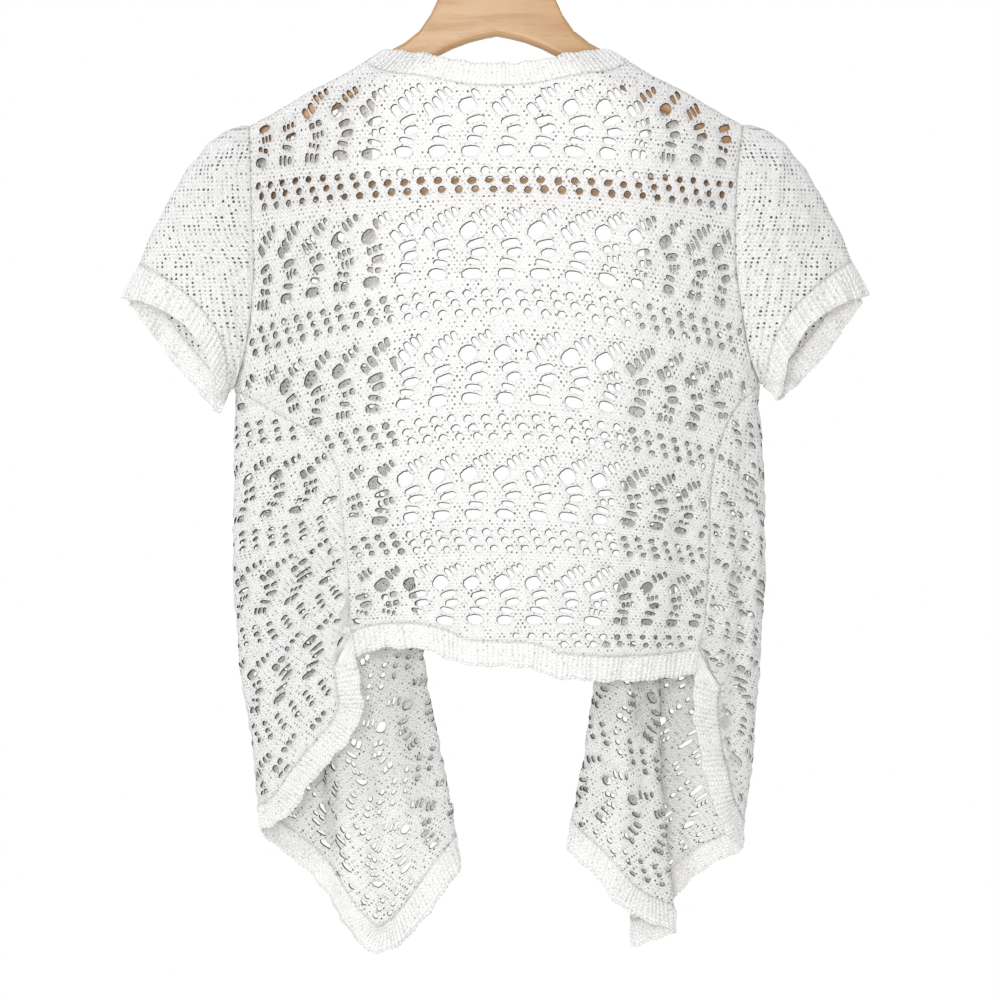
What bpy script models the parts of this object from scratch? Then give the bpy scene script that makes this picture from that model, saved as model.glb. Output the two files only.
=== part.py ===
"""A knitted lace shrug hanging on a contoured wooden hanger.

The origin is inside the crown of the hanger's hook, +Z is up, -Y is the side of the garment's
back and +X is to the right of someone who looks at that back. Every size below is in
millimetres; "drop" is the distance below the origin and "out" the distance from the middle.

The cloth is one wrap for each half of the body, drawn in level sections: from the middle of
the back, round the side fold, over the front's pleats to the free front edge. The back, the
fronts and their bands are cut from that wrap, as from cloth, and then given their thickness.
"""

import math
from collections import namedtuple
from functools import lru_cache

import bmesh
import bpy
from mathutils import Vector

MM = 0.001
WALL = 1.8  # thickness of the knit
SEAM = 0.4  # nominal gap between two sewn pieces
SHOULDER_GAP = 0.35  # from the shoulder line to the cloth's end on each side of it
NECKBAND = 18.0  # width of the rib round the neck and down the fronts
HEM_BAND = 20.0  # width of the rib on the hems
CUFF = 20.0  # width of the rib on the sleeves

# ---- the hanger -------------------------------------------------------------------------

ARM_REACH = 216.0  # from the middle to the tip of an arm
ARM_SWEEP = 32.0  # how far the tips stand in front of the middle
WOOD_THICK = 14.0
CLOTH_LIFT = 1.9  # from the arm's top edge to the middle of the cloth over it
TURN = 9.0  # how far below the shoulder line the cloth has turned down
BAR_HEIGHT, BAR_THICK, BAR_DROP, BAR_FORWARD = 18.0, 10.0, 242.0, 28.4
BAR_FACE = 204.0  # inner face of the lobe that carries the bar
WIRE = 3.8
HOOK_RADIUS = 18.0  # inside
WIRE_SIDES = 8
HOOK_FOOT = 57.0  # drop of the collar's foot, on the wood
COLLAR = [(0, 4.5), (2.2, 4.5), (2.9, 3.8)]  # height above its foot, radius

# out, drop: the line of the shoulders, on top of the cloth
SHOULDER = [
    (0, 55.5), (22, 57.5), (36, 68), (47, 90), (53, 103), (62, 116), (74, 125.5),
    (82, 129.5), (90, 133.6), (122, 152), (150, 165.6), (182, 183.4), (198, 191.5),
    (207, 197), (216, 206),
]
# out, drop: the underside of the wood, with the lobe that carries the bar
WOOD_UNDER = [
    (0, 123), (18, 126.4), (34, 132), (48, 139.2), (90, 159.5), (133, 181.6), (157, 195),
    (182, 212), (198, 224), (203.9, 229), (204, 254), (210, 256.5), (216, 245),
]

# ---- level sections of the wrap -----------------------------------------------------------
# Each point is (out, forward). side is the outermost fold; tuck and ridge are the folds of the
# front's pleat; inner is the fold nearest to the middle and edge is the free front edge.

Section = namedtuple("Section", "drop back_y bow side far tuck ridge lobe inner edge")

LEFT = [
    Section(130, -9, 27.4, (224, 36), (192, 34.3), (170, 28.8), (146, 23.6),
            (124, 19.5), (107, 16.9), (90, 14.6)),
    Section(200, -9.5, 28, (224, 36), (192, 36.5), (173, 33.5), (151, 31),
            (131, 29.5), (115, 28), (101, 27)),
    Section(245, -10.6, 28.2, (224, 38), (190, 43), (172, 42.7), (152, 42.2),
            (132, 42), (115, 41.5), (99, 41)),
    Section(330, -11.6, 34, (219, 43), (190, 56), (170, 57), (148, 55),
            (122, 53), (103, 52), (88, 53)),
    Section(404, -12, 42, (213, 48), (198, 67), (174, 70), (146, 62),
            (114, 59), (87, 66), (82, 75)),
    Section(480, -12, 45, (214, 50), (198, 72), (174, 77), (144, 63),
            (112, 62), (83, 69), (91, 84)),
    Section(560, -11, 45, (214, 50), (196, 76), (172, 81), (141, 61),
            (104, 68), (68, 75), (90, 88)),
    Section(640, -10, 45, (207.5, 50), (190, 78), (164, 83), (135, 58),
            (93, 71), (58, 77), (86, 92)),
    Section(700, -10, 45, (198, 50), (182, 78), (158, 82), (130.5, 56),
            (84, 71), (46.5, 77), (76, 92)),
    Section(762, -10, 45, (193, 50), (176, 75), (152, 78), (123, 54),
            (74, 68), (34.5, 75), (66, 90)),
    Section(800, -10, 45, (192, 50), (174, 72), (150, 75), (120, 52),
            (70, 65), (30.5, 73), (62, 88)),
    Section(870, -10, 45, (190, 50), (172, 68), (140, 70), (101, 51),
            (62, 61), (28, 70), (60, 84)),
]
RIGHT = [
    Section(130, -9, 27.4, (224, 36), (192, 34.3), (170, 28.8), (148, 24),
            (126, 19.9), (107, 16.9), (90, 14.6)),
    Section(200, -9.5, 28, (224, 36), (194, 37), (180, 35), (166, 33),
            (151, 31), (138, 29.5), (122, 28)),
    Section(245, -10.6, 28.2, (224, 38), (192, 43.5), (178, 43), (163, 42.5),
            (149, 42), (137, 41.5), (121, 41)),
    Section(330, -11.6, 34, (219, 43), (190, 58), (174, 58), (160, 56),
            (146, 54), (133, 53), (117, 53)),
    Section(404, -12, 42, (213, 48), (197, 69), (168, 76), (152, 66),
            (131, 60), (108, 66), (105, 74)),
    Section(486, -12, 45, (217.5, 50), (200, 77), (144, 83), (146, 66),
            (126, 57), (105, 66), (114, 77)),
    Section(574, -11, 45, (217, 50), (198, 81), (124, 86), (140, 65),
            (118, 56), (98.5, 66), (110, 78)),
    Section(639, -10, 45, (212.5, 50), (194, 83), (113, 86), (134, 64),
            (106, 55), (81, 66), (100, 79)),
    Section(710, -10, 45, (207, 50), (188, 83), (107, 86), (134.5, 63),
            (102, 53), (70, 64), (93, 78)),
    Section(767, -10, 45, (200, 50), (182, 82), (108, 85), (139, 61),
            (100, 52), (60, 63), (85, 77)),
    Section(806, -10, 45, (197, 50), (180, 82), (109, 84), (143, 60),
            (102, 50), (58, 61), (82, 75)),
    Section(870, -10, 45, (196, 50), (178, 81), (111, 83), (146, 59),
            (104, 49), (58, 59), (80, 73)),
]
BACK_SHARES = (0, 0.2, 0.4, 0.6, 0.8, 0.92)  # of the way out to the side fold
SIDE, FAR, TUCK, RIDGE, LOBE, INNER, EDGE = range(6, 13)  # numbers of the fold lines
ROUNDER = 2.0  # how much wider the tuck and the inner fold turn than a plain curve would

# Soft vertical folds: side, out at the top and at the foot, drops of both, half width, height
Fold = namedtuple("Fold", "side out_top out_foot drop_top drop_foot width height")
FOLDS = [
    Fold(1, 119, 122, 440, 700, 24, 5),
    Fold(1, 167, 170, 450, 700, 22, 5),
    Fold(-1, 126, 114, 420, 700, 22, 4),
    Fold(-1, 62, 44, 470, 700, 24, 4),
    Fold(-1, 186, 178, 430, 720, 22, 3),
]

# ---- lines that the pieces are cut along: (out, drop) ----------------------------------------

# The side seam starts at the underarm, on the side fold.
SIDE_SEAM = {
    -1: [
        (213, 404), (178, 424), (142, 446), (129, 466), (124.8, 500), (120, 540), (116, 600),
        (112.8, 619),
    ],
    1: [
        (213, 400), (193, 420), (178, 453), (172, 494), (171, 540), (167, 590), (162.5, 614),
        (159, 634),
    ],
}
# The armhole, on the back and on the front, from the shoulder to the underarm.
ARMHOLE_BACK = {
    -1: [
        (199, 192), (198, 222), (197.5, 254), (195.5, 302), (198, 340), (201, 361), (206, 384),
        (213, 404),
    ],
    1: [
        (198, 191.5), (194, 222), (192, 254), (192, 302), (197, 340), (202, 368), (206, 384),
        (213, 400),
    ],
}
ARMHOLE_FRONT = {
    -1: [
        (199, 192), (194, 222), (190, 254), (187, 302), (191, 345), (199, 376), (206, 392),
        (213, 404),
    ],
    1: [
        (198, 191.5), (193, 222), (189, 254), (187, 302), (191, 342), (199, 372), (206, 388),
        (213, 400),
    ],
}
NECK = [
    (-90, 133.6), (-68, 135.6), (-48, 139), (-22, 144), (0, 145), (26, 143.6), (48, 139),
    (68, 135), (90, 133.6),
]
BACK_HEM = [
    (-112.8, 619), (-101, 614.5), (-78, 612), (-50, 615), (-33, 623), (2, 626.5), (27, 628),
    (43, 634.5), (60, 637), (128, 637.5), (159, 634),
]

# The hem of a front: stretch of the wrap, out, drop
Cut = namedtuple("Cut", "stretch out drop")
NEAR, DEEP, UNDER, OVER, FREE = (0, SIDE), (SIDE, TUCK), (TUCK, RIDGE), (RIDGE, INNER), (INNER, EDGE)
FRONT_HEM = {
    -1: [
        Cut(NEAR, 112.8, 619), Cut(NEAR, 109, 640), Cut(NEAR, 107.5, 664), Cut(NEAR, 117, 684),
        Cut(NEAR, 131, 700), Cut(NEAR, 150, 722), Cut(NEAR, 168, 748), Cut((SIDE, FAR), 190, 768),
        Cut(DEEP, 167, 789), Cut(UNDER, 138, 818), Cut(UNDER, 115, 852), Cut(OVER, 98, 863),
        Cut(OVER, 74, 852), Cut(OVER, 53, 828), Cut(FREE, 32, 792), Cut(FREE, 52, 775), Cut(FREE, 70, 768),
    ],
    1: [
        Cut(NEAR, 159, 634), Cut(NEAR, 158, 662), Cut(NEAR, 165, 702), Cut(NEAR, 174.5, 738),
        Cut(NEAR, 186, 762), Cut((SIDE, FAR), 196, 782), Cut(DEEP, 176, 794), Cut(DEEP, 152, 816),
        Cut(DEEP, 128, 845), Cut(DEEP, 111, 860), Cut(UNDER, 126, 856), Cut(UNDER, 143, 848),
        Cut(OVER, 125, 838), Cut(OVER, 102, 826), Cut(OVER, 78, 798), Cut(FREE, 61, 776),
        Cut(FREE, 74, 767), Cut(FREE, 88, 762),
    ],
}

# ---- the sleeves ---------------------------------------------------------------------------

# Ends of the cuff's mouth (out, drop), how far its back and front edges stand in from the line
# between them, how far forward its middle is, and half its depth.
Mouth = namedtuple("Mouth", "top foot back_in front_in forward half_depth")
MOUTH = {
    -1: Mouth((300.8, 331.0), (227.2, 423.0), 25.0, -3.0, 36.0, 26.0),
    1: Mouth((298.4, 329.0), (229.6, 413.0), 20.0, -6.0, 36.0, 26.0),
}

# ---- how finely the pieces are faceted ------------------------------------------------------

TURN_ROWS = (0.0, 1.4, 4.6, 10.0)  # rows just below the shoulder line, in mm below it
ARMHOLE_SHARES = (0.2, 0.4, 0.6, 0.78, 0.91, 1)  # of the way down to the underarm
SKIRT_ROWS = 9
NECK_COLUMNS, SHOULDER_COLUMNS = 12, 6
# Columns of a front, as shares of the way from the armhole to the tuck, from there to the ridge,
# to the lobe, and to the sewn edge, closer together at the inner fold.
STRETCH_SHARES = (
    (0, 0.2, 0.4, 0.6, 0.76, 0.9),
    (0, 0.2, 0.45, 0.72),
    (0, 1 / 3, 2 / 3),
    (0, 0.25, 0.44, 0.55, 0.66, 0.82, 1),
)
NEAR_COLUMNS = 6
SLEEVE_ROWS = 7


def lerp(a, b, share):
    """The value or the point that lies this share of the way from a to b."""
    if isinstance(a, tuple):
        return tuple(lerp(p, q, share) for p, q in zip(a, b))
    return a + (b - a) * share


def hermite(knots, values, at):
    """A smooth curve through values, one for each of the rising knots, read at one place."""
    last = len(knots) - 1
    at = min(max(at, knots[0]), knots[last])
    i = max(k for k in range(last) if knots[k] <= at)

    def slope(k):
        if k in (0, last):
            near = 0 if k == 0 else last - 1
            return (values[near + 1] - values[near]) / (knots[near + 1] - knots[near])
        before = (values[k] - values[k - 1]) / (knots[k] - knots[k - 1])
        after = (values[k + 1] - values[k]) / (knots[k + 1] - knots[k])
        share = (knots[k] - knots[k - 1]) / (knots[k + 1] - knots[k - 1])
        return lerp(before, after, share)

    width = knots[i + 1] - knots[i]
    t = (at - knots[i]) / width
    rise, fall = slope(i) * width, slope(i + 1) * width
    return (
        (2 * t**3 - 3 * t**2 + 1) * values[i]
        + (t**3 - 2 * t**2 + t) * rise
        + (3 * t**2 - 2 * t**3) * values[i + 1]
        + (t**3 - t**2) * fall
    )


def read_line(points, at):
    """The second number of a line of points, read smoothly where the first one is at."""
    return hermite([p[0] for p in points], [p[1] for p in points], at)


def straight_line(points, at):
    """As read_line, but with straight runs between the points."""
    at = min(max(at, points[0][0]), points[-1][0])
    for (a, low), (b, high) in zip(points, points[1:]):
        if at <= b:
            return lerp(low, high, (at - a) / (b - a))
    return points[-1][1]


def curve_through(points, count):
    """count points evenly spaced along a smooth curve through the points."""
    knots = [0.0]
    for a, b in zip(points, points[1:]):
        knots.append(knots[-1] + math.dist(a, b))
    lines = [[p[k] for p in points] for k in range(len(points[0]))]
    return [
        tuple(hermite(knots, line, knots[-1] * i / (count - 1)) for line in lines)
        for i in range(count)
    ]


# ---- the wrap ------------------------------------------------------------------------------


def arm_forward(out):
    """How far the hanger's middle plane has swept forward at this distance out."""
    return ARM_SWEEP * (out / ARM_REACH) ** 2


@lru_cache(maxsize=None)
def shoulder_drop(out):
    return read_line(SHOULDER, abs(out))


def fold_height(side, out, drop):
    """How far the soft folds lift the cloth from its plain section."""
    height = 0.0
    for fold in FOLDS:
        if fold.side != side or not fold.drop_top < drop < fold.drop_foot:
            continue
        share = (drop - fold.drop_top) / (fold.drop_foot - fold.drop_top)
        middle = lerp(fold.out_top, fold.out_foot, share)
        gap = abs(out - middle) / fold.width
        if gap < 1:
            grown = math.sin(math.pi / 2 * min(1, share / 0.4, (1 - share) / 0.2)) ** 2
            height += fold.height * grown * math.cos(math.pi * gap / 2) ** 2
    return height


class LevelSection:
    """One half of the wrap, cut level at one drop. Its fold lines are numbered from 0, at the
    middle of the back, to EDGE, and a place between two lines has a number between theirs."""

    STEPS = 8

    def __init__(self, side, drop):
        table = LEFT if side < 0 else RIGHT
        drops = [row.drop for row in table]

        def read(pick):
            return hermite(drops, [pick(row) for row in table], drop)

        back_y, bow = read(lambda row: row.back_y), read(lambda row: row.bow)
        side_out = read(lambda row: row.side[0])
        self.points = []
        for share in BACK_SHARES:
            out = share * side_out
            self.points.append((out, back_y + bow * (out / 200) ** 2))
        for name in ("side", "far", "tuck", "ridge", "lobe", "inner", "edge"):
            self.points.append(tuple(read(lambda row: getattr(row, name)[k]) for k in (0, 1)))
        self.knots = [0.0]
        for a, b in zip(self.points, self.points[1:]):
            self.knots.append(self.knots[-1] + math.dist(a, b) ** 0.5)
        self.slopes = [self._slope(i) for i in range(EDGE + 1)]
        self.line = [self.at(i / self.STEPS) for i in range(EDGE * self.STEPS + 1)]
        self.lengths = [0.0]
        for a, b in zip(self.line, self.line[1:]):
            self.lengths.append(self.lengths[-1] + math.dist(a, b))

    def _slope(self, i):
        if i == 0:
            return ((self.points[1][0] - self.points[0][0]) / self.knots[1], 0.0)
        if i == EDGE:
            a, b, width = self.points[i - 1], self.points[i], self.knots[i] - self.knots[i - 1]
            return ((b[0] - a[0]) / width, (b[1] - a[1]) / width)
        before, after = self.knots[i] - self.knots[i - 1], self.knots[i + 1] - self.knots[i]
        p, q, r = self.points[i - 1 : i + 2]
        round_ = ROUNDER if i in (TUCK, INNER) else 1.0
        return tuple(
            round_ * ((q[k] - p[k]) / before - (r[k] - p[k]) / (before + after) + (r[k] - q[k]) / after)
            for k in (0, 1)
        )

    def at(self, number):
        """(out, forward) at a fold line's number."""
        number = min(max(number, 0.0), float(EDGE))
        i = min(int(number), EDGE - 1)
        t, width = number - i, self.knots[i + 1] - self.knots[i]
        h0, h1 = 2 * t**3 - 3 * t**2 + 1, t**3 - 2 * t**2 + t
        h2, h3 = 3 * t**2 - 2 * t**3, t**3 - t**2
        return tuple(
            h0 * self.points[i][k]
            + h1 * width * self.slopes[i][k]
            + h2 * self.points[i + 1][k]
            + h3 * width * self.slopes[i + 1][k]
            for k in (0, 1)
        )

    def length_to(self, number):
        """Length of cloth from the middle of the back to a fold line's number."""
        at = min(max(number, 0.0), float(EDGE)) * self.STEPS
        i = min(int(at), len(self.line) - 2)
        return lerp(self.lengths[i], self.lengths[i + 1], at - i)

    def number_at(self, length):
        """The number of the place this length of cloth from the middle of the back."""
        length = min(max(length, 0.0), self.lengths[-1])
        i = max(k for k in range(len(self.line) - 1) if self.lengths[k] <= length)
        return (i + (length - self.lengths[i]) / (self.lengths[i + 1] - self.lengths[i])) / self.STEPS

    def number_of(self, stretch, out):
        """The number of the place between two fold lines that is this far out."""
        first, last = (n * self.STEPS for n in stretch)
        best, gap = float(stretch[0]), abs(self.line[first][0] - out)
        for i in range(first, last):
            a, b = self.line[i][0], self.line[i + 1][0]
            share = 0.5 if a == b else min(max((out - a) / (b - a), 0.0), 1.0)
            if abs(lerp(a, b, share) - out) < gap - 1e-9:
                best, gap = (i + share) / self.STEPS, abs(lerp(a, b, share) - out)
        return best


@lru_cache(maxsize=None)
def section_at(side, drop):
    return LevelSection(side, drop)


def section(side, drop):
    """The level section at a drop, shared by all the points within 0.01 mm of it."""
    return section_at(side, round(drop, 2))


def wrap_point(side, number, drop):
    """Where a place on the wrap is, in mm: x, y, z. It turns over the arm's top edge."""
    out, forward = section(side, drop).at(number)
    in_front = number > SIDE
    forward += fold_height(side, out, drop) * (1 if in_front else -1)
    below = drop - shoulder_drop(round(out, 2))
    if below < TURN:
        middle = arm_forward(out)
        share = math.sqrt(max(0.0, 1 - (1 - max(below, 0.0) / TURN) ** 2))
        half = max(abs(forward - middle) * share, SHOULDER_GAP)
        forward = middle + (half if in_front else -half)
    return Vector((side * out, forward, -drop))


def wrap_normal(side, number, drop):
    """The way the cloth faces, out of the garment, at a place on the wrap."""
    step, fall = 0.04, 0.6
    low, high = max(number - step, 0.0), min(number + step, float(EDGE))
    across = wrap_point(side, high, drop) - wrap_point(side, low, drop)
    down = wrap_point(side, number, drop + fall) - wrap_point(side, number, drop)
    return (down.cross(across) * side).normalized()


def on_wrap(side, number, drop):
    """A place on the wrap with the way it faces, as a Sheet takes it."""
    return wrap_point(side, number, drop), wrap_normal(side, number, drop)


# ---- sheets ----------------------------------------------------------------------------------


class Sheet:
    """A sheet of cloth: places with the way each faces, joined by quads. build makes it a
    closed wall of WALL thickness."""

    def __init__(self):
        self.places, self.quads, self.known = [], [], {}

    def place(self, key, point, normal):
        """The number of the place with this key, which is added the first time."""
        if key not in self.known:
            self.known[key] = len(self.places)
            self.places.append((point, normal))
        return self.known[key]

    def grid(self, keys, places, round_=False):
        """Adds rows of places, and the quads between them. A round grid's ends meet."""
        numbers = [
            [self.place(key, *where) for key, where in zip(key_row, row)]
            for key_row, row in zip(keys, places)
        ]
        for upper, lower in zip(numbers, numbers[1:]):
            pairs = list(zip(range(len(upper) - 1), range(1, len(upper))))
            if round_:
                pairs.append((len(upper) - 1, 0))
            for a, b in pairs:
                quad = [upper[a], upper[b], lower[b], lower[a]]
                quad = [n for k, n in enumerate(quad) if n != quad[k - 1]]
                if len(quad) > 2:
                    self.quads.append(quad)

    def turned(self):
        """Whether the quads, as added, go round against the way their places face."""
        agreed = 0.0
        for quad in self.quads:
            a, b, c = (self.places[n][0] for n in quad[:3])
            agreed += (b - a).cross(c - a).dot(self.places[quad[0]][1])
        return agreed < 0

    def triangles(self):
        """The quads, each cut along its shorter diagonal."""
        for quad in self.quads:
            if self.turned_round:
                quad = quad[::-1]
            if len(quad) == 3:
                yield quad
                continue
            a, b, c, d = quad
            spans = [(self.places[i][0] - self.places[j][0]).length for i, j in ((a, c), (b, d))]
            yield from ([(a, b, c), (a, c, d)] if spans[0] <= spans[1] else [(a, b, d), (b, c, d)])

    def build(self, name, material):
        self.turned_round = self.turned()
        mesh = bmesh.new()
        outer, inner = (
            [mesh.verts.new((p + n * WALL * way) * MM) for p, n in self.places] for way in (0.5, -0.5)
        )
        used = set()
        for a, b, c in self.triangles():
            mesh.faces.new((outer[a], outer[b], outer[c]))
            mesh.faces.new((inner[c], inner[b], inner[a]))
            used |= {(a, b), (b, c), (c, a)}
        for a, b in sorted(used):
            if (b, a) in used:
                continue
            # Both pieces at a seam cut its edge faces the same way: from the upper end outside.
            if self.places[a][0].z > self.places[b][0].z:
                mesh.faces.new((outer[b], outer[a], inner[b]))
                mesh.faces.new((outer[a], inner[a], inner[b]))
            else:
                mesh.faces.new((outer[b], outer[a], inner[a]))
                mesh.faces.new((outer[b], inner[a], inner[b]))
        return add_object(name, mesh, material)


def add_object(name, mesh, material):
    """Makes a bmesh an object of its own, shaded smooth up to 40 degrees."""
    data = bpy.data.meshes.new(name)
    mesh.to_mesh(data)
    mesh.free()
    data.shade_smooth()
    data.set_sharp_from_angle(angle=math.radians(40))
    data.materials.append(material)
    thing = bpy.data.objects.new(name, data)
    bpy.context.scene.collection.objects.link(thing)
    return thing


# ---- the cuts --------------------------------------------------------------------------------


def line_on_wrap(side, stretch, points, count):
    """count places (number, drop) along a line given as (out, drop) on one stretch."""
    return [
        (section(side, drop).number_of(stretch, out), drop)
        for out, drop in curve_through(points, count)
    ]


def seam_places(side, count, last_drop, by=0.0):
    """The side seam, from the underarm down to a drop, moved by this much of cloth towards the
    front."""
    points = curve_through(SIDE_SEAM[side], 60)
    kept = [p for p in points if p[1] < last_drop]
    kept.append((straight_line([(drop, out) for out, drop in points], last_drop), last_drop))
    places = line_on_wrap(side, NEAR, kept, count)
    places[0] = (float(SIDE), places[0][1])
    flat = [(section(side, drop).length_to(number), drop) for number, drop in places]
    moved = offset_line(flat, by * (-1 if flat[-1][0] < flat[0][0] else 1))
    return [(section(side, drop).number_at(length), drop) for length, drop in moved]


@lru_cache(maxsize=None)
def hem_curves(side):
    """Three lines across a front from the side seam to the free edge, as lists of (distance from
    the free edge, drop): the hem, the band's sewn edge and the panel's edge."""
    outer = []
    for cut in FRONT_HEM[side]:
        level = section(side, cut.drop)
        number = level.number_of(cut.stretch, cut.out)
        outer.append((level.lengths[-1] - level.length_to(number), cut.drop))
    outer[-1] = (0.0, outer[-1][1])
    outer = curve_through(outer, 120)
    lines = [outer]
    for width in (HEM_BAND, HEM_BAND + SEAM):
        moved = smoothed(offset_line(smoothed(outer, 3), width), 3)
        foot = outer[0][1] - width
        number = seam_places(side, 3, foot)[-1][0]
        level = section(side, foot)
        moved[0] = (level.lengths[-1] - level.length_to(number), foot)
        late = next(i for i, p in enumerate(moved) if p[1] > foot + 14)
        for i in range(1, late):
            moved[i] = lerp(moved[0], moved[late], i / late)
        lines.append(moved)
    return lines


def from_edge(side, edge, drop):
    """The place (number, drop) on the wrap this length of cloth from the free edge."""
    level = section(side, drop)
    return level.number_at(level.lengths[-1] - edge), drop


def cut_at(line, edge):
    """The part of a hem line that lies farther than edge from the free edge, and its end."""
    kept = [p for p in line if p[0] > edge]
    after = next(p for p in line if p[0] <= edge)
    share = (kept[-1][0] - edge) / (kept[-1][0] - after[0])
    return kept + [lerp(kept[-1], after, share)]


def offset_line(line, by):
    """A line of points moved across itself by the same distance all along, to the right of the
    way that it runs where the second number counts downwards."""
    ways = []
    for a, b in zip(line, line[1:]):
        size = max(math.dist(a, b), 1e-9)
        ways.append(((a[1] - b[1]) / size, (b[0] - a[0]) / size))
    moved = []
    for i, point in enumerate(line):
        a, b = ways[max(i - 1, 0)], ways[min(i, len(ways) - 1)]
        share = by / max(1 + a[0] * b[0] + a[1] * b[1], 0.3)
        moved.append(tuple(point[k] + (a[k] + b[k]) * share for k in (0, 1)))
    return moved


def smoothed(line, reach):
    """A line of points, each the mean of those up to reach places before and after it."""
    found = []
    for i in range(len(line)):
        span = min(reach, i, len(line) - 1 - i)
        near = line[i - span : i + span + 1]
        found.append(tuple(sum(p[k] for p in near) / len(near) for k in (0, 1)))
    return found


def drop_on(line, number):
    """The drop of a line of places (number, drop), whose numbers rise, at one number."""
    return straight_line(line, number)


def meet_shoulder(side, number_at_drop):
    """The drop where a column of places meets the shoulder line."""
    drop = 160.0
    for _ in range(12):
        out = section(side, drop).at(number_at_drop(drop))[0]
        drop = shoulder_drop(round(out, 2))
    return drop


def spread(length, count):
    """count numbers evenly spread over a list of this length, with both its ends."""
    return [round(i * (length - 1) / (count - 1)) for i in range(count)]


def across_from(point, line, other):
    """A point near one line, moved as far as the other line lies from that one there."""
    best = None
    for (a, b), (c, d) in zip(zip(line, line[1:]), zip(other, other[1:])):
        run = [b[k] - a[k] for k in (0, 1)]
        gap = [point[k] - a[k] for k in (0, 1)]
        share = (run[0] * gap[0] + run[1] * gap[1]) / max(run[0] ** 2 + run[1] ** 2, 1e-9)
        share = min(max(share, 0.0), 1.0)
        near, far = lerp(a, b, share), lerp(c, d, share)
        if best is None or math.dist(near, point) < best[0]:
            best = (math.dist(near, point), tuple(point[k] + far[k] - near[k] for k in (0, 1)))
    return best[1]


def blend_rows(top, foot, starts, ends):
    """Rows of places between a top row and a foot row, pulled to their first and last places."""
    rows, last, count = [], len(starts) - 1, len(top) - 1
    for i in range(last + 1):
        down = i / last
        gaps = [
            tuple(own[k] - lerp(top[end][k], foot[end][k], down) for k in (0, 1))
            for own, end in ((starts[i], 0), (ends[i], -1))
        ]
        rows.append(
            [
                tuple(
                    lerp(a[k], b[k], down) + lerp(gaps[0][k], gaps[1][k], j / count) for k in (0, 1)
                )
                for j, (a, b) in enumerate(zip(top, foot))
            ]
        )
    return rows


# ---- the fronts --------------------------------------------------------------------------------


def armhole_number(side, line, stretch, drop):
    """The number of the armhole's edge at a drop."""
    if drop >= line[-1][1] - 1e-6:
        return float(SIDE)
    return section(side, drop).number_of(stretch, read_line([(p[1], p[0]) for p in line], drop))


def armhole_drops(side):
    """The drops at which both panels and the sleeve have a place on the armhole."""
    top, foot = ARMHOLE_BACK[side][0][1], ARMHOLE_BACK[side][-1][1]
    drops = [top + rise for rise in TURN_ROWS]
    return drops + [lerp(drops[-1], foot, share) for share in ARMHOLE_SHARES]


@lru_cache(maxsize=None)
def front_rows(side):
    """The places of a front, as rows of (number, drop): those from the armhole and the side fold
    to the sewn edge, and those from the side seam round to the side fold."""
    outer, _, cloth = hem_curves(side)
    sewn = [from_edge(side, edge, drop) for edge, drop in cut_at(cloth, NECKBAND + SEAM)]
    beyond = sorted(p for p in sewn if p[0] >= SIDE - 0.3)
    side_foot = drop_on(beyond, float(SIDE))

    def start(drop):
        return armhole_number(side, ARMHOLE_FRONT[side], (SIDE, TUCK), drop)

    def sewn_edge(drop):
        return from_edge(side, NECKBAND + SEAM, drop)[0]

    lines = [start, lambda drop: TUCK, lambda drop: RIDGE, lambda drop: LOBE, sewn_edge]
    columns = [(k, share) for k, shares in enumerate(STRETCH_SHARES) for share in shares]

    def number(column, drop):
        k, share = column
        return lerp(lines[k](drop), lines[k + 1](drop), share)

    drops = armhole_drops(side)
    ends = []
    for column in columns:
        top = drops[0] if column == (0, 0.0) else meet_shoulder(side, lambda d: number(column, d))
        foot = 760.0
        for _ in range(10):
            foot = lerp(foot, drop_on(beyond, number(column, foot)), 0.7)
        ends.append((top, foot))
    ends[0] = (drops[0], side_foot)
    start_drop = drops[0] + TURN_ROWS[-1]
    levels = [(drop - start_drop) / (side_foot - start_drop) for drop in drops[len(TURN_ROWS) :]]
    levels += [lerp(levels[-1], 1.0, i / SKIRT_ROWS) for i in range(1, SKIRT_ROWS + 1)]
    far = []
    for rise in TURN_ROWS:
        far.append([(number(c, top + rise), top + rise) for c, (top, _) in zip(columns, ends)])
    for share in levels:
        row = []
        for column, (top, foot) in zip(columns, ends):
            drop = lerp(top + TURN_ROWS[-1], foot, share)
            row.append((number(column, drop), drop))
        far.append(row)

    seam = seam_places(side, SKIRT_ROWS + 1, outer[0][1] - HEM_BAND - SEAM, SEAM / 2)
    far[-SKIRT_ROWS - 1][0] = seam[0]
    fold = [row[0] for row in far[-SKIRT_ROWS - 1 :]]
    line = [seam[-1]] + [p for p in sewn if seam[-1][0] + 0.1 < p[0] < SIDE - 0.05] + [fold[-1]]
    foot = curve_through([line[i] for i in spread(len(line), 10)], NEAR_COLUMNS + 1)
    near = blend_rows([seam[0]] * (NEAR_COLUMNS + 1), foot, seam, fold)
    return far, near


def front_panel(name, side, material):
    """A front: two grids of cloth that share the side fold."""
    far, near = front_rows(side)
    sheet = Sheet()
    sheet.grid(
        [[("far", i, j) for j in range(len(row))] for i, row in enumerate(far)],
        [[on_wrap(side, *at) for at in row] for row in far],
    )
    first = len(far) - len(near)

    def key(i, j):
        return ("far", first + i, 0) if i == 0 or j == NEAR_COLUMNS else ("near", i, j)

    sheet.grid(
        [[key(i, j) for j in range(NEAR_COLUMNS + 1)] for i in range(len(near))],
        [[on_wrap(side, *at) for at in row] for row in near],
    )
    return sheet.build(name, material)


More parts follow.
